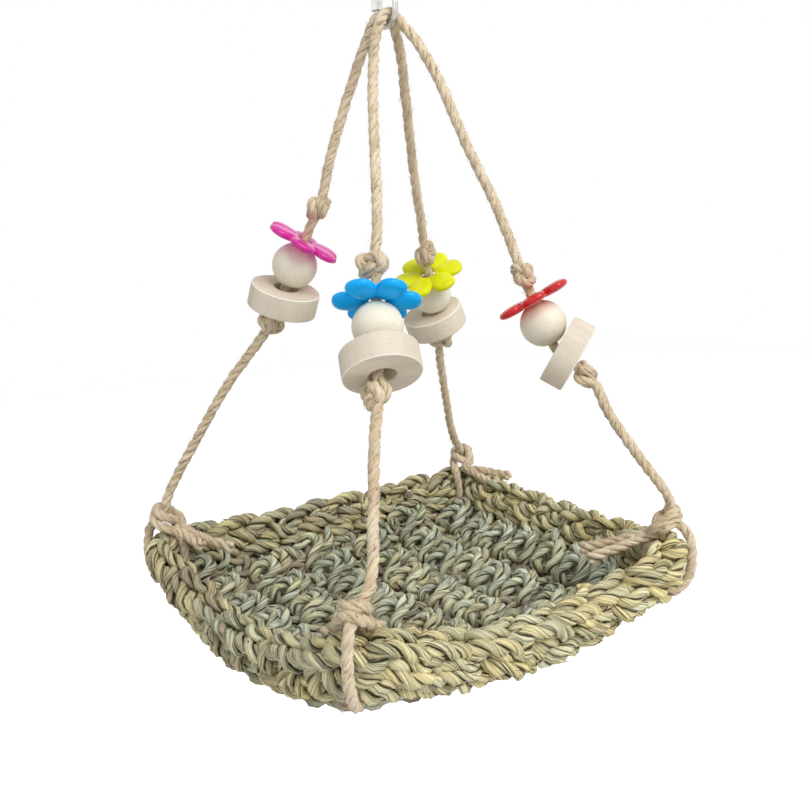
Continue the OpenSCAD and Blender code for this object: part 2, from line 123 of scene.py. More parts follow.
RIM_KNOT = np.array((-0.0104, 0, 0.0034))
# The two loose ends at each corner: direction from the rim knot, and length
LOOSE_ENDS = (
    (((-0.4, 1, -0.5), 0.017), ((1, 0.25, -0.5), 0.013)),
    (((-0.75, 1, -0.38), 0.036), ((-1, 0.7, -0.45), 0.033)),
    (((0.35, -1, -0.08), 0.032), ((0.08, -1, -0.24), 0.030)),
    (((0.85, -0.7, -0.42), 0.030), ((0.5, -1, -0.42), 0.019)),
)
# How far the upper knots are moved up the rope from their places, clear of the flowers
KNOT_LIFT = 0.0011
# How far the upper and the lower knot of each leg are turned about the rope, in degrees
KNOT_TURNS = ((305, 270), (50, 225), (215, 135), (232, 200))
# How far each flower leans on its rope, about X and Y, and how far it is turned, in degrees
FLOWER_TILTS = ((1, 2), (1, 7), (5, 5), (1, 6))
FLOWER_TURNS = (32, 34, 48, 42)

# Spacing of the points on the ropes, on the stitches and on the cords under the floor
ROPE_STEP = 0.0011
STITCH_STEP = 0.0016
BASE_STEP = 0.0021
# The rounds of the rim, from the top down: inset from the outline, depth below the rim's top, half the
# width of a stitch, and how far the stitches lean outwards, in radians
RIM_ROUNDS = {
    "upper": (0.0050, 0.0044, 0.0036, 0.80),
    "middle": (0.0052, 0.0104, 0.0031, 1.62),
    "lower": (0.0076, 0.0162, 0.0030, 1.90),
}
# Where the middle round is worked in posts, in shares of the round, and their height
POST_SIDE = (0.77, 0.99)
POST_HEIGHT = 0.0062
# From the outline of the mat to the edge of its floor
FLOOR_INSET = 0.0109
# Where the cords under one ridge of the floor lie, in shares of the ridge's width
BASE_PLACES = np.array((-5, -3, -1, 1, 3, 5)) / 12
# The cords of the floor: share of straw, tone in a hollow, tone on top, and girth. The tones paint shade in
# the hollows and light on the tops, and the base cords under the ridges are painted dark as shade.
FLOOR_LOOKS = {
    "ridges": (0.18, 0.08, 0.95, 0.90),
    "valleys": (0.05, 0.10, 0.40, 0.86),
    "base": (0, 0.05, 0.25, 1.20),
}
# How far the stitches are out of place, in cords
UNEVEN = 0.10
# Where the lights stand from the middle of the part, and how wide they are
KEY_LIGHT = ((0.15, -1.5, 1.5), 1.4)
FILL_LIGHT = ((-1.7, -0.7, 0.6), 1.2)

# Middle lines of the laid ropes, which the stitches of the mat keep clear of
ROPE_LINES = []


class RopeSettings(bpy.types.PropertyGroup):
    """Jute rope that carries the mat"""
    diameter: FloatProperty(
        name="Diameter", description="Thickness of the rope", default=0.0045, unit="LENGTH")
    strands: IntProperty(
        name="Strands", description="Strands that are laid into the rope", default=3, min=2, max=4)
    lay: FloatProperty(
        name="Lay", description="Length of one full turn of a strand", default=0.0150, unit="LENGTH")
    knot_pull: FloatProperty(
        name="Knot pull",
        description="Share of the diameter that is left where turns of a knot press together",
        default=0.70, min=0.6, max=1.0, subtype="FACTOR")
    fibres: IntProperty(
        name="Loose fibres", description="Fibres that stand off each rope", default=3000, min=0)
    seed: IntProperty(
        name="Seed", description="Picks another set of uneven strands and fibres", default=11)
    light: FloatVectorProperty(
        name="Light jute", description="Colour of the clean fibres", subtype="COLOR",
        default=(0.83, 0.695, 0.485), min=0, max=1)
    dark: FloatVectorProperty(
        name="Dark jute", description="Colour between the fibres", subtype="COLOR",
        default=(0.23, 0.15, 0.072), min=0, max=1)


class MatSettings(bpy.types.PropertyGroup):
    """Crocheted seagrass mat"""
    front_width: FloatProperty(
        name="Front edge", description="Length of the front edge", default=0.180, unit="LENGTH")
    back_width: FloatProperty(
        name="Back edge", description="Length of the back edge", default=0.199, unit="LENGTH")
    depth: FloatProperty(
        name="Depth", description="Distance from the front edge to the back edge", default=0.181,
        unit="LENGTH")
    middle: FloatVectorProperty(
        name="Middle", description="Middle of the mat beside the link's axis", size=2,
        default=(0.001, -0.0025), subtype="XYZ", unit="LENGTH")
    corner_radius: FloatProperty(
        name="Corner radius", description="Rounding of the mat's corners", default=0.018, unit="LENGTH")
    drop: FloatProperty(
        name="Drop", description="From the link's lower wire to the corners of the rim", default=0.222,
        unit="LENGTH")
    sags: FloatVectorProperty(
        name="Sags", description="Sag of the rim at the front, right, back and left", size=4,
        default=(0.012, 0.003, 0.003, 0.017), unit="LENGTH")
    floor_joint: FloatProperty(
        name="Floor joint", description="From the top of the rim to where the floor meets it",
        default=0.0135, unit="LENGTH")
    floor_depth: FloatProperty(
        name="Floor depth", description="From the link's lower wire to the middle of the floor",
        default=0.2552, unit="LENGTH")
    cord: FloatProperty(
        name="Cord", description="Thickness of the twisted seagrass cord", default=0.0063, unit="LENGTH")
    lay: FloatProperty(
        name="Lay", description="Length of one full turn of a ply", default=0.018, unit="LENGTH")
    leaf_gap: FloatProperty(
        name="Leaf gap", description="Cord between two loose leaf ends", default=0.010, unit="LENGTH")
    ridges: IntProperty(
        name="Ridges", description="Ridges of the floor from left to right", default=6, min=3)
    arches: IntProperty(
        name="Arches", description="Arched stitches along one ridge", default=8, min=4)
    rim_stitches: IntProperty(
        name="Rim stitches", description="Stitches in one round of the rim", default=33, min=12)
    seed: IntProperty(
        name="Seed", description="Picks another set of uneven stitches", default=7)
    green: FloatVectorProperty(
        name="Green leaf", description="Grey green of the cured leaves", subtype="COLOR",
        default=(0.44, 0.46, 0.34), min=0, max=1)
    straw: FloatVectorProperty(
        name="Straw leaf", description="Straw yellow of the riper leaves", subtype="COLOR",
        default=(0.67, 0.575, 0.30), min=0, max=1)
    # Brown serves the stained leaves, and also the painted shade in the floor's hollows and on the rim's
    # shaded side
    brown: FloatVectorProperty(
        name="Brown leaf", description="Brown of the stained leaves", subtype="COLOR",
        default=(0.29, 0.23, 0.18), min=0, max=1)


class BeadSettings(bpy.types.PropertyGroup):
    """Beads on the ropes"""
    ball_diameter: FloatProperty(
        name="Ball", description="Diameter of a wooden ball", default=0.020, unit="LENGTH")
    ball_bore: FloatProperty(
        name="Ball bore", description="Bore of a wooden ball", default=0.006, unit="LENGTH")
    disc_diameter: FloatProperty(
        name="Disc", description="Diameter of a wooden disc", default=0.031, unit="LENGTH")
    disc_thickness: FloatProperty(
        name="Disc thickness", description="Thickness of a wooden disc", default=0.0105, unit="LENGTH")
    disc_bore: FloatProperty(
        name="Disc bore", description="Bore of a wooden disc", default=0.0108, unit="LENGTH")
    flower_diameter: FloatProperty(
        name="Flower", description="Diameter of a flower over its petal tips", default=0.035, unit="LENGTH")
    petal_width: FloatProperty(
        name="Petal width", description="Widest part of a petal", default=0.0116, unit="LENGTH")
    petal_thickness: FloatProperty(
        name="Petal thickness", description="Thickest part of a petal", default=0.0050, unit="LENGTH")
    clear_thickness: FloatProperty(
        name="Clear petals", description="Thickest part of a petal of the clear flowers", default=0.0041,
        unit="LENGTH")
    ball_wood: FloatVectorProperty(
        name="Ball wood", description="Colour of the balls", subtype="COLOR",
        default=(0.87, 0.81, 0.66), min=0, max=1)
    disc_wood: FloatVectorProperty(
        name="Disc wood", description="Colour of the discs", subtype="COLOR",
        default=(0.75, 0.665, 0.535), min=0, max=1)
    blue: FloatVectorProperty(
        name="Blue petals", description="Colour of the front left flower", subtype="COLOR",
        default=(0.002, 0.44, 0.98), min=0, max=1)
    red: FloatVectorProperty(
        name="Red petals", description="Colour of the front right flower", subtype="COLOR",
        default=(0.90, 0.012, 0.014), min=0, max=1)
    yellow: FloatVectorProperty(
        name="Yellow petals", description="Colour of the back right flower", subtype="COLOR",
        default=(0.82, 0.86, 0.006), min=0, max=1)
    pink: FloatVectorProperty(
        name="Pink petals", description="Colour of the back left flower", subtype="COLOR",
        default=(0.98, 0.032, 0.54), min=0, max=1)


class StageSettings(bpy.types.PropertyGroup):
    """Camera, light and floor"""
    camera_place: FloatVectorProperty(
        name="Camera place", description="Where the camera stands", subtype="XYZ", unit="LENGTH",
        default=(-0.2248, -0.3412, -0.1172))
    camera_right: FloatVectorProperty(
        name="Camera right", description="Direction of the picture's right side", subtype="DIRECTION",
        default=(0.8215, -0.5686, -0.0417))
    camera_up: FloatVectorProperty(
        name="Camera up", description="Direction of the picture's top", subtype="DIRECTION",
        default=(0.1377, 0.1269, 0.9823))
    lens: FloatProperty(
        name="Lens", description="Focal length on a 36 mm sensor", default=40.82)
    shift: FloatVectorProperty(
        name="Shift", description="Shift of the picture's middle, in picture widths", size=2,
        default=(-0.0160, 0.0081))
    floor_drop: FloatProperty(
        name="Floor drop", description="From the underside of the mat to the floor", default=0.30,
        unit="LENGTH")
    world: FloatProperty(
        name="World light", description="Strength of the even light from all round", default=0.45)
    key: FloatProperty(
        name="Key light", description="Power of the large soft light in front", default=36.0, unit="POWER")
    fill: FloatProperty(
        name="Fill light", description="Power of the soft light on the left", default=3.0, unit="POWER")


# Curves and cords

def unit(vector):
    """The vector at length one."""
    vector = np.asarray(vector, float)
    return vector / np.linalg.norm(vector)


def unit_rows(rows):
    """Every row of an array at length one."""
    return rows / np.maximum(np.linalg.norm(rows, axis=-1, keepdims=True), 1e-12)


def distances(line):
    """How far along a line each of its points lies."""
    gaps = np.linalg.norm(np.diff(line, axis=0), axis=1)
    return np.concatenate([[0], np.cumsum(gaps)])


def even_line(line, step):
    """The same line with its points evenly spaced."""
    along = distances(line)
    count = max(3, int(round(along[-1] / step)) + 1)
    marks = np.linspace(0, along[-1], count)
    return np.column_stack([np.interp(marks, along, line[:, axis]) for axis in range(3)])


def smooth_line(points, step, samples=10):
    """Evenly spaced points on a smooth curve through the given points."""
    points = np.asarray(points, float)
    points = np.vstack([2 * points[0] - points[1], points, 2 * points[-1] - points[-2]])
    before, start, end, after = points[:-3], points[1:-2], points[2:-1], points[3:]
    knot_1 = np.sqrt(np.linalg.norm(start - before, axis=1))[:, None]
    knot_2 = knot_1 + np.sqrt(np.linalg.norm(end - start, axis=1))[:, None]
    knot_3 = knot_2 + np.sqrt(np.linalg.norm(after - end, axis=1))[:, None]
    rows = []
    for share in np.arange(samples) / samples:
        mark = knot_1 + (knot_2 - knot_1) * share
        first = (before * (knot_1 - mark) + start * mark) / knot_1
        second = (start * (knot_2 - mark) + end * (mark - knot_1)) / (knot_2 - knot_1)
        third = (end * (knot_3 - mark) + after * (mark - knot_2)) / (knot_3 - knot_2)
        early = (first * (knot_2 - mark) + second * mark) / knot_2
        late = (second * (knot_3 - mark) + third * (mark - knot_1)) / (knot_3 - knot_1)
        rows.append((early * (knot_2 - mark) + late * (mark - knot_1)) / (knot_2 - knot_1))
    dense = np.stack(rows, axis=1).reshape(-1, 3)
    return even_line(np.vstack([dense, points[-2]]), step)


def carried_frame(line):
    """Directions along and across a line, carried along it without twist."""
    ahead = unit_rows(np.gradient(line, axis=0))
    side = np.empty_like(line)
    start = np.cross(ahead[0], (0, 0, 1) if abs(ahead[0][2]) < 0.9 else (1, 0, 0))
    side[0] = unit(start)
    for k in range(1, len(line)):
        across = side[k - 1] - ahead[k] * (side[k - 1] @ ahead[k])
        side[k] = across / np.linalg.norm(across)
    return ahead, side, np.cross(ahead, side)


def wander(rng, along, reach, low=0.0, high=1.0):
    """A value that drifts at random between two limits along a length."""
    count = max(4, int(along[-1] / reach) + 3)
    marks = np.linspace(0, along[-1], count)
    return np.interp(along, marks, rng.uniform(low, high, count))


def close_pairs(points, owner, place, reach, skip):
    """Pairs of points nearer than a reach that aren't neighbours on one cord."""
    tree = KDTree(len(points))
    for k, point in enumerate(points):
        tree.insert(point, k)
    tree.balance()
    pairs = []
    for k, point in enumerate(points):
        for _, other, _ in tree.find_range(point, reach):
            if other > k and (owner[other] != owner[k] or place[other] - place[k] > skip):
                pairs.append((k, other))
    return np.array(pairs, int).reshape(-1, 2)


def settle(lines, gap, rounds, hold, fixed=(), ease=0.15):
    """Pushes cords that lie in one another apart, eases their bends and holds them near their places."""
    moving = sum(len(line) for line in lines)
    every = [*lines, *fixed]
    points = np.vstack(every)
    home = points.copy()
    owner = np.concatenate([np.full(len(line), k) for k, line in enumerate(every)])
    place = np.concatenate([np.arange(len(line)) for line in every])
    step = np.median(np.linalg.norm(np.diff(lines[0], axis=0), axis=1))
    skip = int(1.5 * gap / step)
    free = np.zeros(len(points), bool)
    free[:moving] = True
    inner = np.where(free[1:-1] & (owner[:-2] == owner[2:]))[0] + 1
    for turn in range(rounds):
        if turn % 5 == 0:
            first, second = close_pairs(points, owner, place, gap, skip).T
        apart = points[first] - points[second]
        far = np.maximum(np.linalg.norm(apart, axis=1), 1e-9)
        push = apart * (np.clip(gap - far, 0, None) / far * 0.5)[:, None]
        move = np.zeros_like(points)
        np.add.at(move, first, push)
        np.add.at(move, second, -push)
        count = np.bincount(first, minlength=len(points)) + np.bincount(second, minlength=len(points))
        move /= np.maximum(1, count * 0.5)[:, None]
        points[free] += move[free]
        points[inner] += ease * (0.5 * (points[inner - 1] + points[inner + 1]) - points[inner])
        points[free] += hold * (home[free] - points[free])
    cuts = np.cumsum([len(line) for line in lines])[:-1]
    return np.split(points[:moving], cuts)


def overhand_knot(gap, count=84, rounds=190):
    """A tight overhand knot whose ends leave along Z: an open trefoil, drawn in until its turns touch."""
    shrink = 0.9965
    opening = 0.3
    flatten = (1.14, 1.14, 0.78)
    turn = np.linspace(opening, 2 * math.pi - opening, 80)
    wide = 2 + np.cos(3 * turn)
    trefoil = np.column_stack([wide * np.cos(2 * turn), wide * np.sin(2 * turn), np.sin(3 * turn)])
    trefoil *= 0.62 * gap
    pull = unit((0, 2, 1))
    lead = np.linspace(0.6, 2.6, 8)[:, None] * gap
    start = trefoil[0] + np.array((0.45 * gap, 0, 0)) - lead[::-1] * pull
    end = trefoil[-1] - np.array((0.1 * gap, 0, 0)) + lead * pull
    line = np.vstack([start, trefoil, end])
    line = even_line(line, distances(line)[-1] / (count - 1))
    step = distances(line)[-1] / (len(line) - 1)
    spans = np.abs(np.subtract.outer(np.arange(len(line)), np.arange(len(line))))
    for _ in range(rounds):
        step *= shrink
        neighbours = spans * step < 1.45 * gap
        # Draw the rope in along its line, and push it apart where its turns lie in one another
        for _ in range(3):
            chord = np.diff(line, axis=0)
            length = np.linalg.norm(chord, axis=1, keepdims=True)
            draw = chord * (0.45 * (length - step) / length)
            line[:-1] += draw
            line[1:] -= draw
            apart = line[:, None] - line[None]
            far = np.linalg.norm(apart, axis=2) + 1e-9
            over = np.where(neighbours, 0, np.clip(gap - far, 0, None))
            share = np.maximum(1, (over > 0).sum(1, keepdims=True))
            line += (apart * (over / far)[..., None]).sum(1) / share * 0.5
        # Ease its bends, and pull its two ends out straight
        line[1:-1] += 0.12 * (0.5 * (line[:-2] + line[2:]) - line[1:-1])
        middle = line.mean(0)
        for tip, way in ((0, -1), (-1, 1)):
            off = line[tip] - middle
            line[tip] += way * pull * 0.012 * gap - 0.3 * (off - pull * (off @ pull))
    line -= (line[0] + line[-1]) / 2
    way = Vector(unit(line[-1] - line[0]))
    upright = np.array(way.rotation_difference(Vector((0, 0, 1))).to_matrix())
    return line @ upright.T * flatten


def strand(line, across, reach, turn, thick, tone, straw=0.0, seed=0.0):
    """One strand of a cord: a tube that winds round the cord's middle line, with closed ends."""
    side, other = across
    out = np.cos(turn)[:, None] * side + np.sin(turn)[:, None] * other
    middle = line + out * np.broadcast_to(reach, len(line))[:, None]
    ahead = unit_rows(np.gradient(middle, axis=0))
    out = unit_rows(out - ahead * np.sum(out * ahead, axis=1, keepdims=True))
    wing = np.cross(ahead, out)
    rings, sides = thick.shape
    angle = 2 * math.pi * np.arange(sides) / sides
    ring = np.cos(angle)[None, :, None] * out[:, None] + np.sin(angle)[None, :, None] * wing[:, None]
    verts = (middle[:, None] + ring * thick[:, :, None]).reshape(-1, 3)
    dome = 0.7
    tips = np.array((middle[0] - ahead[0] * thick[0].mean() * dome,
                     middle[-1] + ahead[-1] * thick[-1].mean() * dome))
    along = distances(line)
    lay = np.empty((rings, sides, 3))
    lay[..., 0] = np.cos(angle) * np.median(thick) + seed
    lay[..., 1] = np.sin(angle) * np.median(thick)
    lay[..., 2] = along[:, None]
    cell = np.arange(rings * sides).reshape(rings, sides)
    right = np.roll(cell, -1, axis=1)
    quads = np.stack([cell[:-1], right[:-1], right[1:], cell[1:]], axis=-1).reshape(-1, 4)
    head = np.column_stack([np.full(sides, len(verts)), right[0], cell[0]])
    foot = np.column_stack([np.full(sides, len(verts) + 1), cell[-1], right[-1]])
    ends = np.array((lay[0].mean(0), lay[-1].mean(0)))
    tone = np.repeat(np.broadcast_to(tone, rings), sides)
    straw = np.repeat(np.broadcast_to(straw, rings), sides)
    # 1 on the side of a strand that faces away from its cord's middle; the seagrass material paints shade on
    # the other side
    open_side = np.tile(0.5 + 0.5 * np.cos(angle), rings)
    return {
        "verts": np.vstack([verts, tips]), "quads": quads, "tris": np.vstack([head, foot]),
        "lay": np.vstack([lay.reshape(-1, 3), ends]),
        "tone": np.append(tone, (tone[0], tone[-1])), "straw": np.append(straw, (straw[0], straw[-1])),
        "open_side": np.append(open_side, (0.5, 0.5)),
    }


def strand_mesh(name, strands):
    """One mesh of many strands, with the attributes that its material reads."""
    starts = np.cumsum([0] + [len(s["verts"]) for s in strands])
    verts = np.vstack([s["verts"] for s in strands])
    quads = np.vstack([s["quads"] + start for s, start in zip(strands, starts)])
    tris = np.vstack([s["tris"] + start for s, start in zip(strands, starts)])
    mesh = bpy.data.meshes.new(name)
    mesh.vertices.add(len(verts))
    mesh.vertices.foreach_set("co", verts.astype(np.float32).ravel())
    mesh.loops.add(quads.size + tris.size)
    corners = np.concatenate([quads.ravel(), tris.ravel()])
    mesh.loops.foreach_set("vertex_index", corners.astype(np.int32))
    first = np.concatenate([np.arange(len(quads)) * 4, quads.size + np.arange(len(tris)) * 3])
    mesh.polygons.add(len(first))
    mesh.polygons.foreach_set("loop_start", first.astype(np.int32))
    mesh.update(calc_edges=True)
    mesh.shade_smooth()
    lay = mesh.attributes.new("lay", "FLOAT_VECTOR", "POINT")
    lay.data.foreach_set("vector", np.vstack([s["lay"] for s in strands]).astype(np.float32).ravel())
    for key in ("tone", "straw", "open_side"):
        values = mesh.attributes.new(key, "FLOAT", "POINT")
        values.data.foreach_set("value", np.concatenate([s[key] for s in strands]).astype(np.float32))
    return mesh


def add_piece(name, mesh, material, body, replaced=()):
    """Puts a finished mesh in the scene as a piece that rides on a body."""
    piece = bpy.data.objects.new(name, mesh)
    bpy.context.scene.collection.objects.link(piece)
    mesh.materials.clear()
    mesh.materials.append(material)
    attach(piece, body)
    if replaced:
        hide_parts(*replaced)
    return piece


# Materials

class Finish:
    """A procedural material: a Principled shader and the nodes that feed it."""

    def __init__(self, name, **sockets):
        self.material = bpy.data.materials.new(name)
        self.material.use_nodes = True
        self.tree = self.material.node_tree
        self.shader = self.tree.nodes["Principled BSDF"]
        for key, value in sockets.items():
            self.shader.inputs[key.replace("_", " ").title().replace("Ior", "IOR")].default_value = value

    def node(self, kind, inputs=(), **settings):
        """A new node with its settings, and its inputs linked or set."""
        made = self.tree.nodes.new("ShaderNode" + kind)
        for key, value in settings.items():
            setattr(made, key, value)
        for key, value in dict(inputs).items():
            if isinstance(value, bpy.types.NodeSocket):
                self.tree.links.new(value, made.inputs[key])
            else:
                made.inputs[key].default_value = value
        return made

    def attribute(self, name, output="Fac"):
        """A value that the mesh carries."""
        return self.node("Attribute", attribute_name=name).outputs[output]

    def stretched(self, vector, scale, turn=(0, 0, 0)):
        """Coordinates drawn out and turned."""
        values = {"Vector": vector, "Scale": scale, "Rotation": turn}
        return self.node("Mapping", values).outputs["Vector"]

    def place(self):
        """Coordinates in the part's own frame."""
        return self.node("TexCoord").outputs["Object"]

    def noise(self, vector, scale=1.0, detail=3.0, roughness=0.55):
        """An uneven pattern from 0 to 1."""
        values = {"Vector": vector, "Scale": scale, "Detail": detail, "Roughness": roughness}
        return self.node("TexNoise", values).outputs["Fac"]

    def ramp(self, factor, *stops):
        """Colours or greys that follow a value."""
        made = self.node("ValToRGB", {"Fac": factor})
        elements = made.color_ramp.elements
        while len(elements) < len(stops):
            elements.new(0.5)
        for element, (position, colour) in zip(elements, stops):
            element.position = position
            element.color = (*colour, 1) if hasattr(colour, "__len__") else (colour, colour, colour, 1)
        return made.outputs["Color"]

    def mix(self, factor, first, second, blend="MIX"):
        """Two colours, blended."""
        made = self.node("Mix", data_type="RGBA", blend_type=blend)
        for key, value in ((0, factor), (6, first), (7, second)):
            if isinstance(value, bpy.types.NodeSocket):
                self.tree.links.new(value, made.inputs[key])
            else:
                made.inputs[key].default_value = (*value, 1) if hasattr(value, "__len__") else value
        return made.outputs[2]

    def maths(self, operation, first, second):
        """The result of a sum on two values."""
        return self.node("Math", {0: first, 1: second}, operation=operation).outputs[0]

    def bump(self, height, strength, distance, under=None):
        """A surface raised by a pattern, over another bump where one is given."""
        values = {"Height": height, "Strength": strength, "Distance": distance}
        if under is not None:
            values["Normal"] = under
        return self.node("Bump", values).outputs["Normal"]

    def feed(self, **sockets):
        """Links values to the shader and gives the finished material."""
        for key, value in sockets.items():
            self.tree.links.new(value, self.shader.inputs[key.replace("_", " ").title()])
        return self.material


def jute_finish(rope):
    """Twisted jute: pale fibres along each strand, darker between them."""
    finish = Finish("jute", roughness=0.85, sheen_weight=0.25, sheen_roughness=0.6)
    lay = finish.attribute("lay", "Vector")
    fibres = finish.noise(finish.stretched(lay, (1500, 1500, 330), (0.25, 0, 0)), detail=4)
    patches = finish.noise(finish.place(), scale=60, detail=2)
    light, dark = tuple(rope.light), tuple(rope.dark)
    clean = tuple(part * 0.55 + 0.45 for part in light)
    colour = finish.ramp(fibres, (0.33, dark), (0.44, light), (0.58, light), (0.68, clean))
    tint = finish.ramp(patches, (0.35, (0.86, 0.80, 0.72)), (0.65, (1, 1, 1)))
    colour = finish.mix(1.0, colour, tint, "MULTIPLY")
    tone = finish.ramp(finish.attribute("tone"), (0.0, 0.80), (1.0, 1.0))
    colour = finish.mix(1.0, colour, tone, "MULTIPLY")
    return finish.feed(base_color=colour, normal=finish.bump(fibres, strength=0.7, distance=0.0004))


def seagrass_finish(mat):
    """Dried seagrass leaves: long streaks, grey green to straw with brown stains. Painted shade and light
    come in through the tone, brown in the hollows and pale on the tops, and painted shade darkens the
    grooves between the plies.
    """
    finish = Finish("seagrass", roughness=0.62, specular_ior_level=0.3)
    lay = finish.attribute("lay", "Vector")
    leaf = finish.noise(finish.stretched(lay, (1000, 1000, 50)), detail=2)
    veins = finish.noise(finish.stretched(lay, (1900, 1900, 60)), detail=3)
    green, straw, brown = tuple(mat.green), tuple(mat.straw), tuple(mat.brown)
    # The tone runs from brown through green to pale; besides random tone, brown stands for painted shade and
    # pale for painted light
    pale = tuple(part * cool for part, cool in zip(green, (1.32, 1.38, 1.55)))
    colour = finish.ramp(finish.attribute("tone"), (0.0, brown), (0.4, green), (1.0, pale))
    colour = finish.mix(finish.attribute("straw"), colour, straw)
    leaves = finish.ramp(
        leaf, (0.30, (0.38, 0.33, 0.27)), (0.44, (0.90, 0.89, 0.85)), (0.68, (1.50, 1.50, 1.46)))
    colour = finish.mix(1.0, colour, leaves, "MULTIPLY")
    lines = finish.ramp(veins, (0.36, 0.06), (0.43, 1.0))
    colour = finish.mix(0.9, colour, lines, "MULTIPLY")
    # Painted shade: the inner side of each ply, in the groove against the other ply, is darkened almost to
    # black
    groove_shade = finish.ramp(
        finish.attribute("open_side"), (0.26, (0.04, 0.032, 0.024)), (0.54, (1, 1, 1)))
    colour = finish.mix(1.0, colour, groove_shade, "MULTIPLY")
    folds = finish.bump(leaf, strength=0.6, distance=0.0009)
    normal = finish.bump(veins, strength=0.6, distance=0.0004, under=folds)
    return finish.feed(base_color=colour, normal=normal)


def wood_finish(name, colour, grain_scale, contrast, roughness):
    """Turned pale wood: fine grain along one direction of the bead, faint pores, and a painted highlight: a
    paler colour on the rounded edges.
    """
    finish = Finish(name, roughness=roughness, specular_ior_level=0.35)
    grain = finish.attribute("grain", "Vector")
    rings = finish.noise(finish.stretched(grain, grain_scale), detail=4)
    pores = finish.noise(finish.stretched(grain, (900, 220, 900)), detail=3)
    dark = tuple(part * (1 - contrast) for part in colour)
    light = tuple(min(1.0, part * (1 + 0.35 * contrast)) for part in colour)
    base = finish.ramp(rings, (0.35, dark), (0.65, light))
    specks = finish.ramp(pores, (0.30, 0.82), (0.42, 1.0))
    base = finish.mix(0.7, base, specks, "MULTIPLY")
    # Painted highlight: the rounded edges are lifted to a pale colour, as if the lamp glinted on them
    base = finish.mix(finish.attribute("worn"), base, (0.93, 0.89, 0.80))
    return finish.feed(base_color=base, normal=finish.bump(pores, strength=0.15, distance=0.0003))


def plastic_finish(name, colour, clear):
    """Moulded plastic: glossy, some of it letting light through, with faint waves in the surface."""
    gloss = 0.5 if clear else 0.22
    finish = Finish(name, roughness=0.2, specular_ior_level=gloss, transmission_weight=clear, ior=1.46)
    waves = finish.noise(finish.place(), scale=240, detail=1)
    clouds = finish.noise(finish.place(), scale=90, detail=1)
    deep = tuple(part * 0.86 for part in colour)
    base = finish.ramp(clouds, (0.3, deep), (0.7, colour))
    return finish.feed(base_color=base, normal=finish.bump(waves, strength=0.06, distance=0.0005))


def steel_finish():
    """Nickel plated wire: bright, with a little dullness and fine drawing marks."""
    finish = Finish("nickel", metallic=1.0, roughness=0.25)
    marks = finish.noise(finish.stretched(finish.place(), (3000, 3000, 200)), detail=3)
    clouds = finish.noise(finish.place(), scale=300, detail=3)
    base = finish.ramp(clouds, (0.3, (0.58, 0.57, 0.55)), (0.7, (0.80, 0.79, 0.76)))
    dull = finish.ramp(clouds, (0.3, 0.18), (0.7, 0.34))
    normal = finish.bump(marks, strength=0.12, distance=0.0002)
    return finish.feed(base_color=base, roughness=dull, normal=normal)


# Ropes

def corner_place(mat, q, out, side, up):
    """A point beside a corner of the rim: outwards, sideways and above the rim's top."""
    way = SIDES[q] / math.sqrt(2)
    half = (mat.front_width if q < 2 else mat.back_width) / 2
    corner = np.array(mat.middle) + SIDES[q] * (half, mat.depth / 2)
    plan = corner - SIDES[q] * mat.corner_radius + way * (mat.corner_radius + out)
    plan = plan + side * np.array((-way[1], way[0]))
    return np.array((plan[0], plan[1], WIRE[2] - mat.drop + up))


def turned_knot(knot, middle, axis, turn):
    """The knot set on a leg, from its upper end to its lower end."""
    spin = Matrix.Rotation(math.radians(turn), 3, "Z")
    lift = Vector((0, 0, 1)).rotation_difference(Vector(axis)).to_matrix()
    return knot[::-1] @ np.array(lift @ spin).T + middle


def leg_line(mat, knot, i):
    """Middle line of one leg of a rope, from the link down to its loose end at the rim."""
    high = unit(UPPER_KNOTS[i] - RUN_BENDS[i])
    low = unit(RUN_BENDS[i] - LOWER_KNOTS[i])
    half = np.linalg.norm(knot[-1] - knot[0]) / 2
    upper = turned_knot(knot, UPPER_KNOTS[i] + WIRE + high * KNOT_LIFT, high, KNOT_TURNS[i][0])
    lower = turned_knot(knot, LOWER_KNOTS[i] + WIRE, low, KNOT_TURNS[i][1])
    top = [*(np.array(UPPER_ROUTES[i]) + WIRE), upper[0] + high * half * 0.8, upper[0]]
    run = [upper[-1], upper[-1] - high * half, RUN_BENDS[i] + WIRE, lower[0] + low * half, lower[0]]
    rim = [corner_place(mat, i, *point) for point in RIM_TURN]
    tip, length = LOOSE_ENDS[i][0]
    middle = corner_place(mat, i, *RIM_KNOT)
    tail = [middle + unit(tip) * length * share for share in (0.55, 0.8, 1.0)]
    leg = [lower[-1], lower[-1] - low * half * 0.8, *(np.array(LOWER_ROUTES[i]) + WIRE), *rim, *tail]
    top, run, leg = (smooth_line(points, ROPE_STEP) for points in (top, run, leg))
    return np.vstack([top, upper, run, lower, leg])


def second_end(mat, i):
    """Middle line of the second loose end at a corner, out of its rim knot."""
    tip, length = LOOSE_ENDS[i][1]
    middle = corner_place(mat, i, *RIM_KNOT)
    points = [middle + unit(tip) * length * share for share in (0.05, 0.35, 0.7, 1.0)]
    return smooth_line(points, ROPE_STEP)


def rope_line(mat, rope, knot, left, right, offset):
    """Middle line of a whole rope, from one loose end over the link to the other."""
    turn = np.radians(BIGHT_ANGLES)
    bight = np.column_stack([np.sin(turn), np.zeros(len(turn)), np.cos(turn)]) * BIGHT_RADIUS
    bight += WIRE + np.array((0, offset, 0))
    left_leg = leg_line(mat, knot, left)[::-1]
    right_leg = leg_line(mat, knot, right)
    over = np.vstack([left_leg[-3], left_leg[-1], bight, right_leg[0], right_leg[2]])
    line = np.vstack([left_leg[:-3], smooth_line(over, ROPE_STEP), right_leg[3:]])
    line = even_line(line, ROPE_STEP)
    return settle([line], rope.diameter * rope.knot_pull, rounds=40, hold=0.05)[0]


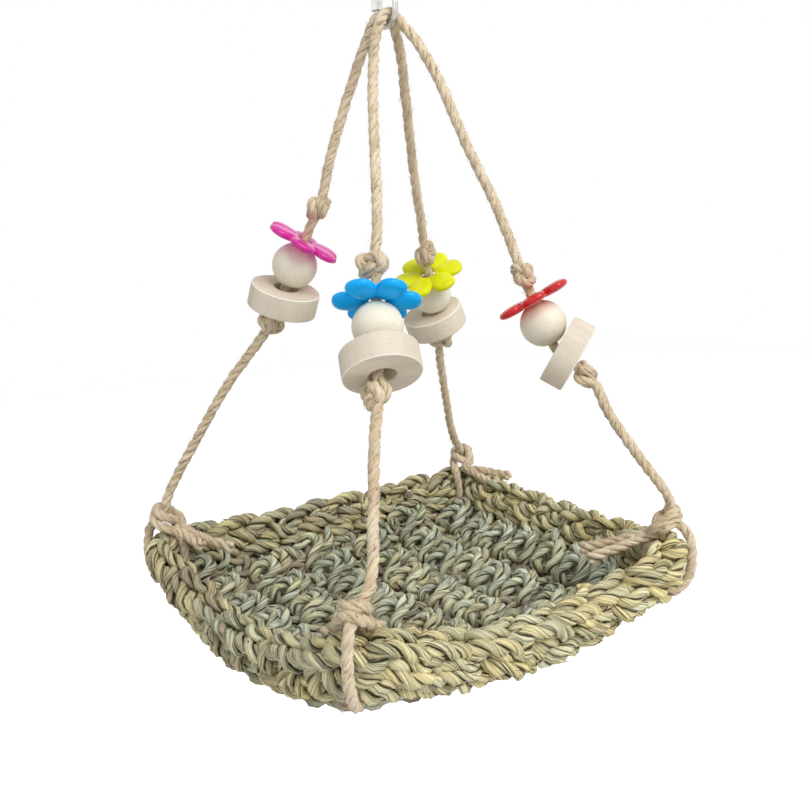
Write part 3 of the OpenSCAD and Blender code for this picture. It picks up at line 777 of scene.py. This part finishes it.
def rope_strands(rope, line, rng):
    """The strands of a rope, laid together along it and let loose at both ends."""
    sides, frayed = 9, 0.012
    along = distances(line)
    _, side, other = carried_frame(line)
    loose = np.clip(1 - np.minimum(along, along[-1] - along) / frayed, 0, 1)
    turn = 2 * math.pi * along / rope.lay
    angle = 2 * math.pi * np.arange(sides) / sides
    strands = []
    # A strand's thickness and its distance from the rope's middle are shares of the rope's diameter
    for k in range(rope.strands):
        thick = rope.diameter * (0.300 + 0.018 * wander(rng, along, 0.006, -1, 1)) * (1 - 0.10 * loose)
        ridges = 1 + 0.06 * np.sin(3 * angle[None] + 900 * along[:, None] + k)
        reach = rope.diameter * (0.212 + 0.22 * loose ** 1.5)
        reach = reach * (1 + 0.06 * wander(rng, along, 0.01, -1, 1))
        phase = turn + 2 * math.pi * k / rope.strands + 0.25 * wander(rng, along, 0.012, -1, 1)
        strands.append(strand(
            line, (side, other), reach, phase, thick[:, None] * ridges,
            wander(rng, along, 0.02), seed=0.01 * k))
    return strands


def loose_ends(line, rng, count, radius, widths, stray, crowd=0.0, tone=1.0, straw=0.0):
    """Short thin ends that lift off a cord along its way; stray sets how wild they are, and crowd how
    many more there are near the ends of the cord."""
    reach, crowded = 3, 0.015
    along = distances(line)
    _, side, other = carried_frame(line)
    inner = np.arange(reach, len(line) - reach)
    chance = 1 + crowd * np.exp(-np.minimum(along, along[-1] - along)[inner] / crowded)
    marks = np.linspace(0, 1, reach + 1)[:, None]
    strands = []
    for spot in rng.choice(inner, count, p=chance / chance.sum()):
        angle = rng.uniform(0, 2 * math.pi)
        out = math.cos(angle) * side[spot] + math.sin(angle) * other[spot]
        way = line[spot + rng.choice((-1, 1)) * np.arange(reach + 1)] - line[spot]
        length = np.linalg.norm(way[-1])
        lift = out * rng.uniform(0.5, 1.5) + rng.normal(size=3)
        path = line[spot] + out * radius + way * rng.uniform(0.5, 1.2)
        path = path + stray * length * lift * marks ** 1.5
        _, wing, fin = carried_frame(path)
        thick = np.outer((1, 0.9, 0.7, 0.35), (1, 0.6, 1, 0.6)) * rng.uniform(*widths)
        shade = np.clip(tone + rng.uniform(-0.3, 0.3), 0, 1)
        yellow = np.clip(straw + rng.uniform(-0.4, 0.4), 0, 1)
        strands.append(strand(
            path, (wing, fin), 0.0, np.zeros(reach + 1), thick, shade, yellow, along[spot]))
    return strands


class HAMMOCK_OT_ropes(bpy.types.Operator):
    """Lay the two jute ropes, with their knots and loose ends"""
    bl_idname = "hammock.ropes"
    bl_label = "Ropes"

    def execute(self, context):
        rope = context.scene.hammock_rope
        mat = context.scene.hammock_mat
        rng = np.random.default_rng(rope.seed)
        finish = jute_finish(rope)
        knot = overhand_knot(rope.diameter * rope.knot_pull)
        kinds = ("rope_run", "rope_leg", "upper_knot", "lower_knot", "rim_loop", "rim_knot", "rope_ends")
        for name, left, right, offset in (("front", 0, 1, -BIGHT_OFFSET), ("back", 3, 2, BIGHT_OFFSET)):
            line = rope_line(mat, rope, knot, left, right, offset)
            ROPE_LINES.append(line)
            nodes = [f"rope_{name}_top"]
            nodes += [f"{kind}_{CORNERS[i]}" for i in (left, right) for kind in kinds]
            mesh = strand_mesh(f"{name}_rope", rope_strands(rope, line, rng))
            piece = add_piece(f"{name}_rope", mesh, finish, "hammock", nodes)
            fuzz = loose_ends(
                line, rng, rope.fibres, radius=0.44 * rope.diameter, widths=(0.00006, 0.00012), stray=0.22,
                crowd=6.0)
            mesh = strand_mesh(f"{name}_rope_fibres", fuzz)
            add_piece(f"{name}_rope_fibres", mesh, finish, "hammock")
            for i in (left, right):
                end = f"loose_end_{CORNERS[i]}"
                mesh = strand_mesh(end, rope_strands(rope, second_end(mat, i), rng))
                add_piece(end, mesh, finish, "hammock", [f"rope_ends_{CORNERS[i]}"])
        return {"FINISHED"}


# Mat

def chain_stitch(middle, pitch, cord, spread, tilt):
    """A chain stitch: two legs that open into a V along the row and close behind the next stitch."""
    up, out = math.cos(tilt), math.sin(tilt)
    half = ((0.02, 0.18, -0.30), (0.16, 0.44, 0.26), (0.42, 0.70, 0.45), (0.72, 0.93, 0.24),
            (0.98, 1.00, -0.12), (1.15, 0.62, -0.48))
    loop = [(x, side * spread, high * cord) for x, side, high in half]
    loop += [(1.24, 0, -0.72 * cord)]
    loop += [(x, -side * spread, high * cord) for x, side, high in half[::-1]]
    loop += [(0.30, 0, -0.95 * cord), (0.70, 0, -1.05 * cord)]
    return [(middle + x * pitch, high * up - side * out, high * out + side * up) for x, side, high in loop]


def post_stitch(middle, pitch, cord, height):
    """A stitch that stands up as a narrow arch on two legs."""
    points = ((-0.27, -1.00, -0.10), (-0.25, -0.35, 0.30), (-0.17, 0.50, 0.35), (0.00, 0.85, 0.15),
              (0.17, 0.50, 0.35), (0.25, -0.35, 0.30), (0.27, -1.00, -0.10), (0.50, -1.10, -0.75))
    return [(middle + x * pitch, y * height, z * cord) for x, y, z in points]


def ridge_stitch(middle, pitch, cord, width):
    """A stitch of the floor: an arch that leans over the ridge, and a lower loop behind it."""
    points = ((-0.42, -0.10, -0.55), (-0.31, -0.36, -0.40), (-0.33, -0.27, 0.30), (-0.23, -0.09, 0.85),
              (0.00, 0.03, 1.02), (0.23, -0.07, 0.85), (0.33, -0.25, 0.30), (0.31, -0.36, -0.40),
              (0.18, -0.16, -0.80), (0.14, 0.12, -0.50), (0.13, 0.27, 0.05), (0.42, 0.34, 0.32),
              (0.72, 0.25, 0.10))
    return [(middle + x * pitch, y * width, z * cord) for x, y, z in points]


def valley_stitch(middle, pitch, cord, width):
    """The strands that cross a valley of the floor from one ridge to the next."""
    points = ((-0.26, 0.36, -0.30), (-0.23, 0.52, -0.42), (-0.20, 0.68, -0.35),
              (0.22, 0.68, -0.35), (0.25, 0.52, -0.42), (0.28, 0.36, -0.30))
    return [(middle + x * pitch, y * width, z * cord) for x, y, z in points]


def base_stitch(middle, pitch, cord, width, across):
    """A cord that runs along under the ridges."""
    points = ((-0.25, -0.03, -1.00), (0.00, 0.03, -1.10), (0.25, -0.03, -1.00), (0.50, -0.04, -1.05))
    return [(middle + x * pitch, (y + across) * width, z * cord) for x, y, z in points]


def worked(stitches, jitter, rng):
    """The points of a row of stitches, each a little out of place."""
    rows = []
    for stitch in stitches:
        points = np.array(stitch)
        rows.append(points + rng.normal(0, jitter, 3) + rng.normal(0, 0.4 * jitter, points.shape))
    return np.vstack(rows)


def rim_outline(mat):
    """Even points round the mat's outline: plan, outward direction and height of the rim's top."""
    plan, out, sag = [], [], []
    half = (mat.front_width / 2, mat.front_width / 2, mat.back_width / 2, mat.back_width / 2)
    turns = np.radians(np.linspace(0, 90, 13))
    arcs = []
    for q in range(4):
        hub = np.array(mat.middle) + SIDES[q] * (half[q], mat.depth / 2) - SIDES[q] * mat.corner_radius
        angle = math.pi * (1 + 0.5 * q) + turns
        arcs.append((hub, np.column_stack([np.cos(angle), np.sin(angle)])))
    for q in range(4):
        hub, ways = arcs[q]
        plan.append(hub + ways * mat.corner_radius)
        out.append(ways)
        sag.append(np.zeros(len(ways)))
        after = arcs[(q + 1) % 4]
        share = np.linspace(0, 1, 42)[1:-1, None]
        edge = plan[-1][-1] * (1 - share) + (after[0] + after[1][0] * mat.corner_radius) * share
        plan.append(edge)
        out.append(np.tile(ways[-1], (len(edge), 1)))
        sag.append(mat.sags[q] * np.sin(math.pi * share[:, 0]) ** 0.7)
    plan, out = np.vstack(plan), np.vstack(out)
    height = WIRE[2] - mat.drop - np.concatenate(sag)
    closed = np.vstack([np.column_stack([plan, height]), [[*plan[0], height[0]]]])
    return closed, np.vstack([out, out[:1]])


def rim_rows(mat, rng):
    """Middle lines of the three rounds of the rim, from the top down."""
    edge, out = rim_outline(mat)
    along = distances(np.column_stack([edge[:, :2], np.zeros(len(edge))]))
    pitch = along[-1] / mat.rim_stitches
    rows = []
    for level, (name, (inset, depth, spread, tilt)) in enumerate(RIM_ROUNDS.items()):
        stitches = []
        for k in range(mat.rim_stitches):
            start = (k + 0.33 * level) * pitch
            if name == "middle" and POST_SIDE[0] < (k + 0.5) / mat.rim_stitches < POST_SIDE[1]:
                stitches.append(post_stitch(start + 0.5 * pitch, pitch, mat.cord, POST_HEIGHT))
            else:
                stitches.append(chain_stitch(start, pitch, mat.cord, spread, tilt))
        points = worked(stitches, UNEVEN * mat.cord, rng)
        mark = points[:, 0] % along[-1]
        plan = np.column_stack([np.interp(mark, along, edge[:, axis]) for axis in (0, 1)])
        way = unit_rows(np.column_stack([np.interp(mark, along, out[:, axis]) for axis in (0, 1)]))
        top = np.interp(mark, along, edge[:, 2])
        place = plan - way * (inset - points[:, 2])[:, None]
        rows.append(np.column_stack([place, top - depth + points[:, 1]]))
    return [smooth_line(row, STITCH_STEP) for row in rows]


def floor_size(mat):
    """Length and mean width of the floor."""
    width = (mat.front_width + mat.back_width) / 2 - 2 * FLOOR_INSET
    return mat.depth - 2 * FLOOR_INSET, width


def floor_place(mat, along, across, face):
    """Points of the floor: distances from its front edge and its left edge, and above its mean height."""
    long_way, width = floor_size(mat)
    share, over = along / long_way, across / width
    half = (mat.front_width * (1 - share) + mat.back_width * share) / 2 - FLOOR_INSET
    x = mat.middle[0] + (2 * over - 1) * half
    y = mat.middle[1] - mat.depth / 2 + FLOOR_INSET + along
    near = np.clip(np.column_stack([share, 1 - over, 1 - share, over]), 0.02, None)
    pull = near ** -2.0
    span = np.sin(math.pi * np.clip(np.column_stack([over, share, over, share]), 0, 1))
    sag = np.sum(pull * span ** 0.7 * np.array(mat.sags), axis=1) / pull.sum(1)
    edge = WIRE[2] - mat.drop - mat.floor_joint - sag
    middle = WIRE[2] - mat.floor_depth
    reach = np.clip(np.maximum(np.abs(2 * over - 1), np.abs(2 * share - 1)), 0, 1)
    return np.column_stack([x, y, middle + (edge - middle) * reach ** 3 + face])


def floor_rows(mat, rng):
    """Middle lines of the floor's ridges, of the strands in its valleys and of the cords under both."""
    long_way, width = floor_size(mat)
    pitch, width = long_way / mat.arches, width / mat.ridges
    size = (pitch, mat.cord, width)

    def laid(points, k, step):
        return smooth_line(
            floor_place(mat, points[:, 0], points[:, 1] + (k + 0.5) * width, points[:, 2]), step)

    ridges, valleys, bases = [], [], []
    for k in range(mat.ridges):
        shift = 0.5 * (k % 2)
        starts = [(i + 0.5 + shift) * pitch for i in range(mat.arches - k % 2)]
        ridge = worked([ridge_stitch(x, *size) for x in starts], UNEVEN * mat.cord, rng)
        ridges.append(laid(ridge, k, STITCH_STEP))
        starts = [(i + 0.5) * pitch for i in range(mat.arches)]
        for at in BASE_PLACES:
            base = worked([base_stitch(x, *size, at) for x in starts], UNEVEN * mat.cord, rng)
            tucked = (-0.02 * pitch, at * width, -0.55 * mat.cord)
            bases.append(laid(np.vstack([tucked, base]), k, BASE_STEP))
        if k < mat.ridges - 1:
            valley = worked([valley_stitch(x, *size) for x in starts], 1.2 * UNEVEN * mat.cord, rng)
            valleys.append(laid(valley, k, STITCH_STEP))
    return ridges, valleys, bases


def raised(height, cord):
    """How far each point of a cord lies above its neighbourhood, from 0 in a hollow to 1 on top."""
    reach = 12
    level = np.convolve(np.pad(height, reach, "edge"), np.ones(2 * reach + 1) / (2 * reach + 1), "valid")
    return np.clip(0.5 + (height - level) / (1.5 * cord), 0, 1)


def cord_strands(mat, line, straw, tone, girth, rng):
    """The two plies of a seagrass cord, each a bundle of leaves."""
    sides, plies = 13, 2
    along = distances(line)
    _, side, other = carried_frame(line)
    angle = 2 * math.pi * np.arange(sides) / sides
    turn = 2 * math.pi * along / mat.lay + wander(rng, along, 0.03, -0.7, 0.7)
    strands = []
    # A ply's thickness and its distance from the cord's middle are shares of the cord
    for k in range(plies):
        swell = 1 + wander(rng, along, 0.012, -0.12, 0.12)
        folds = 1 + 0.09 * np.sin(2 * angle[None] + 200 * along[:, None] + rng.uniform(0, 6))
        folds += 0.07 * np.sin(4 * angle[None] - 120 * along[:, None] + rng.uniform(0, 6))
        thick = 0.315 * girth * mat.cord * swell[:, None] * folds
        reach = 0.20 * girth * mat.cord * (1 + wander(rng, along, 0.02, -0.15, 0.15))
        shade = np.clip(tone + wander(rng, along, 0.030, -0.35, 0.35), 0, 1)
        yellow = np.clip(straw + wander(rng, along, 0.040, -0.40, 0.40), 0, 1)
        strands.append(strand(
            line, (side, other), reach, turn + math.pi * k, thick, shade, yellow, rng.uniform(0, 1)))
    ends = loose_ends(
        line, rng, int(along[-1] / mat.leaf_gap), radius=0.44 * girth * mat.cord, widths=(0.0003, 0.0006),
        stray=0.08, tone=np.mean(tone), straw=np.mean(straw))
    return strands + ends


class HAMMOCK_OT_mat(bpy.types.Operator):
    """Crochet the floor and the three rim rounds of the mat"""
    bl_idname = "hammock.mat"
    bl_label = "Mat"

    def execute(self, context):
        mat = context.scene.hammock_mat
        rng = np.random.default_rng(mat.seed)
        finish = seagrass_finish(mat)
        rim = rim_rows(mat, rng)
        floor = floor_rows(mat, rng)
        lines = [*rim, *(line for rows in floor for line in rows)]
        ropes = [line[line[:, 2] < WIRE[2] - mat.drop + 0.02] for line in ROPE_LINES]
        lines = settle(lines, 0.80 * mat.cord, rounds=25, hold=0.08, fixed=ropes)
        for name, line in zip(RIM_ROUNDS, lines):
            # The rim's leaves are riper and more straw yellow towards the front right corner, and its tone
            # carries painted light there and painted shade towards the back left
            near = np.clip((line[:, 0] - line[:, 1]) / mat.depth, -1, 1)
            straw, tone = 0.54 + 0.26 * near, 0.45 + 0.30 * near
            strands = cord_strands(mat, line, straw, tone, 1.0, rng)
            mesh = strand_mesh(f"rim_{name}", strands)
            add_piece(f"rim_{name}", mesh, finish, "hammock", [f"rim_row_{name}"])
        settled = iter(lines[len(rim):])
        for (name, (straw, low, high, girth)), rows in zip(FLOOR_LOOKS.items(), floor):
            strands = []
            for line in (next(settled) for _ in rows):
                # Painted shade and light: the tone follows how high the cord lies, dark in a hollow and pale
                # on top
                tone = low + (high - low) * raised(line[:, 2], mat.cord)
                strands += cord_strands(mat, line, straw, tone, girth, rng)
            mesh = strand_mesh(f"floor_{name}", strands)
            add_piece(f"floor_{name}", mesh, finish, "hammock", ["mat_floor"])
        return {"FINISHED"}


# Beads

def bead_frame(middle, axis, tilt=(0, 0)):
    """The place and lean of a bead on its rope."""
    lean = math.acos(axis[2])
    way = math.atan2(axis[1], axis[0])
    turn = Matrix.Rotation(way, 4, "Z") @ Matrix.Rotation(lean, 4, "Y")
    tip = Matrix.Rotation(math.radians(tilt[1]), 4, "Y") @ Matrix.Rotation(math.radians(tilt[0]), 4, "X")
    return Matrix.Translation(middle) @ turn @ tip


def joint_place(name):
    """Where a joint of the part is, and the direction of its axis."""
    joint = next(j for j in frame["joints"] if j["name"] == name)
    return Vector(joint["pos_m"]), Vector(joint["axis"])


def bead_mesh(name, shape, place, edge=(1, 1)):
    """A bead's mesh that keeps its own coordinates for its grain, and marks where its painted edge highlight
    goes, beyond a radius and height.
    """
    mesh = bpy.data.meshes.new(name)
    shape.to_mesh(mesh)
    shape.free()
    local = np.empty(len(mesh.vertices) * 3, np.float32)
    mesh.vertices.foreach_get("co", local)
    mesh.attributes.new("grain", "FLOAT_VECTOR", "POINT").data.foreach_set("vector", local)
    x, y, z = local.reshape(-1, 3).T
    # Mask of the painted edge highlight: the rounded rim beyond the given radius and height
    worn = (np.hypot(x, y) > edge[0]) & (np.abs(z) > edge[1])
    mesh.attributes.new("worn", "FLOAT", "POINT").data.foreach_set("value", worn.astype(np.float32))
    mesh.transform(place)
    mesh.shade_smooth()
    return mesh


def spun(profile, steps):
    """A solid of revolution about Z from a closed profile of radius and height."""
    shape = bmesh.new()
    verts = [shape.verts.new((r, 0, z)) for r, z in profile]
    edges = [shape.edges.new((verts[k - 1], verts[k])) for k in range(len(verts))]
    bmesh.ops.spin(
        shape, geom=verts + edges, axis=(0, 0, 1), cent=(0, 0, 0), angle=2 * math.pi, steps=steps,
        use_merge=True)
    bmesh.ops.remove_doubles(shape, verts=shape.verts, dist=1e-6)
    bmesh.ops.recalc_face_normals(shape, faces=shape.faces)
    return shape


def arc(middle, radius, start, end, count):
    """Points of an arc in a profile, with its angles in degrees."""
    turns = np.radians(np.linspace(start, end, count))
    return [(middle[0] + radius * math.cos(t), middle[1] + radius * math.sin(t)) for t in turns]


class HAMMOCK_OT_balls(bpy.types.Operator):
    """Turn the wooden balls"""
    bl_idname = "hammock.balls"
    bl_label = "Balls"

    def execute(self, context):
        beads = context.scene.hammock_beads
        finish = wood_finish(
            "ball_wood", tuple(beads.ball_wood), grain_scale=(60, 60, 14), contrast=0.10, roughness=0.42)
        radius, bore = beads.ball_diameter / 2, beads.ball_bore / 2
        edge = 0.0006
        pole = math.degrees(math.acos((bore + edge) / radius))
        high = math.sqrt(radius ** 2 - (bore + edge) ** 2)
        lip = (bore + edge, high - edge * 0.9)
        rounding = arc(lip, edge, 75, 180, 5)
        profile = arc((0, 0), radius, -pole, pole, 33)[1:-1]
        profile += rounding + [(r, -z) for r, z in rounding[::-1]]
        for i, corner in enumerate(CORNERS):
            low, high_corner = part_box(f"ball_{corner}")
            axis = unit(UPPER_KNOTS[i] - RUN_BENDS[i])
            place = bead_frame((low + high_corner) / 2, axis) @ Matrix.Rotation(1.3 * i, 4, "Z")
            mesh = bead_mesh(f"wooden_ball_{corner}", spun(profile, 64), place)
            add_piece(
                f"wooden_ball_{corner}", mesh, finish, f"ball_{corner}", [f"ball_{corner}"])
        return {"FINISHED"}


class HAMMOCK_OT_discs(bpy.types.Operator):
    """Turn the wooden discs"""
    bl_idname = "hammock.discs"
    bl_label = "Discs"

    def execute(self, context):
        beads = context.scene.hammock_beads
        finish = wood_finish(
            "disc_wood", tuple(beads.disc_wood), grain_scale=(120, 25, 25), contrast=0.12, roughness=0.6)
        outer, bore, half = beads.disc_diameter / 2, beads.disc_bore / 2, beads.disc_thickness / 2
        edge, lip = 0.0007, 0.0004
        profile = arc((outer - edge, edge - half), edge, -90, 0, 6)
        profile += arc((outer - edge, half - edge), edge, 0, 90, 6)
        profile += arc((bore + lip, half - lip), lip, 90, 180, 4)
        profile += arc((bore + lip, lip - half), lip, 180, 270, 4)
        for i, corner in enumerate(CORNERS):
            middle, axis = joint_place(f"disc_spin_{corner}")
            place = bead_frame(middle, axis) @ Matrix.Rotation(0.9 * i, 4, "Z")
            # Where the painted edge highlight starts, on the disc's rounded edges
            worn = (outer - 0.5 * edge, half - 0.5 * edge)
            mesh = bead_mesh(f"wooden_disc_{corner}", spun(profile, 96), place, worn)
            add_piece(
                f"wooden_disc_{corner}", mesh, finish, f"disc_{corner}", [f"disc_{corner}"])
        return {"FINISHED"}


def flower_mesh(name, beads, thickness):
    """Six fat petals round a small ring, melted into one moulded body."""
    petals, root, fullness = 6, 0.0032, 0.84
    hub_middle, hub_width, hub_height = 0.0048, 0.0015, 0.0014
    shape = bmesh.new()
    half = ((beads.flower_diameter / 2 - root) / 2, beads.petal_width / 2, thickness / 2)
    for k in range(petals):
        made = bmesh.ops.create_uvsphere(shape, u_segments=28, v_segments=18, radius=1.0)
        for vert in made["verts"]:
            x, y, z = (math.copysign(abs(part) ** fullness, part) for part in vert.co)
            blunt = 1 + 0.18 * x - 0.14 * x * x
            vert.co = (x * half[0] + root + half[0], y * half[1] * blunt, z * half[2] * (1 + 0.08 * x))
        turn = Matrix.Rotation(2 * math.pi * k / petals, 3, "Z")
        bmesh.ops.rotate(shape, verts=made["verts"], cent=(0, 0, 0), matrix=turn)
    turns = np.linspace(0, 2 * math.pi, 13)[:-1]
    ring = [(hub_middle + hub_width * math.cos(t), hub_height * math.sin(t)) for t in turns]
    hub = spun(ring, 48)
    joined = bpy.data.meshes.new(name)
    hub.to_mesh(joined)
    hub.free()
    shape.from_mesh(joined)
    shape.to_mesh(joined)
    shape.free()
    draft = bpy.data.objects.new(name, joined)
    bpy.context.scene.collection.objects.link(draft)
    melt = draft.modifiers.new("melt", "REMESH")
    melt.mode = "VOXEL"
    melt.voxel_size = 0.00028
    soften = draft.modifiers.new("soften", "SMOOTH")
    soften.iterations = 4
    soften.factor = 0.5
    melted = bpy.data.meshes.new_from_object(draft.evaluated_get(bpy.context.evaluated_depsgraph_get()))
    bpy.data.objects.remove(draft)
    return melted


class HAMMOCK_OT_flowers(bpy.types.Operator):
    """Mould the plastic flowers"""
    bl_idname = "hammock.flowers"
    bl_label = "Flowers"

    def execute(self, context):
        beads = context.scene.hammock_beads
        colours = (("blue", beads.blue, 0.0), ("red", beads.red, 0.45),
                   ("yellow", beads.yellow, 0.0), ("pink", beads.pink, 0.45))
        full = flower_mesh("full_flower", beads, beads.petal_thickness)
        thin = flower_mesh("thin_flower", beads, beads.clear_thickness)
        for i, corner in enumerate(CORNERS):
            name, colour, clear = colours[i]
            middle, _ = joint_place(f"flower_spin_{corner}")
            axis = unit(UPPER_KNOTS[i] - RUN_BENDS[i])
            place = bead_frame(middle, axis, FLOWER_TILTS[i])
            mesh = (thin if clear else full).copy()
            mesh.transform(place @ Matrix.Rotation(math.radians(FLOWER_TURNS[i]), 4, "Z"))
            mesh.shade_smooth()
            finish = plastic_finish(f"petal_{name}", tuple(colour), clear)
            add_piece(
                f"plastic_flower_{corner}", mesh, finish, f"flower_{corner}",
                [f"flower_{corner}"])
        return {"FINISHED"}


class HAMMOCK_OT_link(bpy.types.Operator):
    """Finish the quick link and its sleeve nut"""
    bl_idname = "hammock.link"
    bl_label = "Quick link"

    def execute(self, context):
        finish = steel_finish()
        for node in ("link_body", "sleeve_nut"):
            piece = frame["nodes"][node]
            piece.data.materials.clear()
            piece.data.materials.append(finish)
        return {"FINISHED"}


# Stage

def area_light(name, place, target, size, power):
    """A square soft light that looks at a point."""
    data = bpy.data.lights.new(name, "AREA")
    data.size = size
    data.energy = power
    lamp = bpy.data.objects.new(name, data)
    lamp.location = place
    lamp.rotation_euler = (Vector(target) - Vector(place)).to_track_quat("-Z", "Y").to_euler()
    bpy.context.scene.collection.objects.link(lamp)
    return lamp


def pale_world(strength):
    """Even white light, and white behind the object for the camera and for reflections."""
    world = bpy.data.worlds.new("studio")
    world.use_nodes = True
    nodes, links = world.node_tree.nodes, world.node_tree.links
    path = nodes.new("ShaderNodeLightPath")
    seen = path.outputs["Is Camera Ray"]
    for ray in ("Is Glossy Ray", "Is Transmission Ray"):
        either = nodes.new("ShaderNodeMath")
        either.operation = "MAXIMUM"
        links.new(seen, either.inputs[0])
        links.new(path.outputs[ray], either.inputs[1])
        seen = either.outputs[0]
    level = nodes.new("ShaderNodeMapRange")
    level.inputs["To Min"].default_value = strength
    level.inputs["To Max"].default_value = 1.0
    links.new(seen, level.inputs["Value"])
    back = nodes["Background"]
    back.inputs["Color"].default_value = (1, 1, 1, 1)
    links.new(level.outputs["Result"], back.inputs["Strength"])
    bpy.context.scene.world = world


class HAMMOCK_OT_stage(bpy.types.Operator):
    """Set up the camera, the soft light and the pale floor"""
    bl_idname = "hammock.stage"
    bl_label = "Stage"

    def execute(self, context):
        stage = context.scene.hammock_stage
        right, up = Vector(stage.camera_right).normalized(), Vector(stage.camera_up).normalized()
        back = right.cross(up).normalized()
        up = back.cross(right)
        data = bpy.data.cameras.new("camera")
        data.sensor_width = 36
        data.lens = stage.lens
        data.shift_x, data.shift_y = stage.shift
        data.clip_start, data.clip_end = 0.01, 20
        camera = bpy.data.objects.new("camera", data)
        turn = Matrix((right, up, back)).transposed().to_4x4()
        camera.matrix_world = Matrix.Translation(stage.camera_place) @ turn
        context.scene.collection.objects.link(camera)
        context.scene.camera = camera
        pale_world(stage.world)
        low, high = CAD_BOX
        middle = (low + high) / 2
        for name, (place, size) in (("key", KEY_LIGHT), ("fill", FILL_LIGHT)):
            area_light(name, middle + Vector(place), middle, size, getattr(stage, name))
        sheet = bmesh.new()
        bmesh.ops.create_grid(sheet, x_segments=2, y_segments=2, size=3.0)
        bmesh.ops.translate(sheet, verts=sheet.verts, vec=(0, 0, low.z - stage.floor_drop))
        mesh = bpy.data.meshes.new("floor")
        sheet.to_mesh(mesh)
        sheet.free()
        # Paper that takes the object's shadow, and is lifted to white for the camera alone
        paper = Finish("paper", base_color=(0.92, 0.92, 0.92, 1), roughness=0.9)
        seen = paper.node("LightPath").outputs["Is Camera Ray"]
        paper.shader.inputs["Emission Color"].default_value = (1, 1, 1, 1)
        paper.tree.links.new(paper.maths("MULTIPLY", seen, 0.5), paper.shader.inputs["Emission Strength"])
        floor = bpy.data.objects.new("floor", mesh)
        mesh.materials.append(paper.material)
        context.scene.collection.objects.link(floor)
        context.scene.view_settings.view_transform = "Standard"
        return {"FINISHED"}


STEPS = ("stage", "ropes", "mat", "balls", "discs", "flowers", "link")
SETTINGS = {
    "hammock_rope": RopeSettings, "hammock_mat": MatSettings,
    "hammock_beads": BeadSettings, "hammock_stage": StageSettings,
}


class HAMMOCK_PT_panel(bpy.types.Panel):
    """Sizes, colours and steps of the hammock"""
    bl_idname = "HAMMOCK_PT_panel"
    bl_label = "Bird hammock"
    bl_space_type = "VIEW_3D"
    bl_region_type = "UI"
    bl_category = "Hammock"

    def draw(self, context):
        for key, group in SETTINGS.items():
            box = self.layout.box()
            box.label(text=group.__doc__)
            for name in group.__annotations__:
                box.prop(getattr(context.scene, key), name)
        for step in STEPS:
            self.layout.operator(f"hammock.{step}")


CLASSES = (
    *SETTINGS.values(), HAMMOCK_OT_stage, HAMMOCK_OT_ropes, HAMMOCK_OT_mat, HAMMOCK_OT_balls,
    HAMMOCK_OT_discs, HAMMOCK_OT_flowers, HAMMOCK_OT_link, HAMMOCK_PT_panel)


def register():
    for item in CLASSES:
        bpy.utils.register_class(item)
    for key, group in SETTINGS.items():
        setattr(bpy.types.Scene, key, PointerProperty(type=group))


def unregister():
    for key in SETTINGS:
        delattr(bpy.types.Scene, key)
    for item in reversed(CLASSES):
        bpy.utils.unregister_class(item)


def main():
    register()
    for step in STEPS:
        getattr(bpy.ops.hammock, step)()


if __name__ == "__main__":
    main()
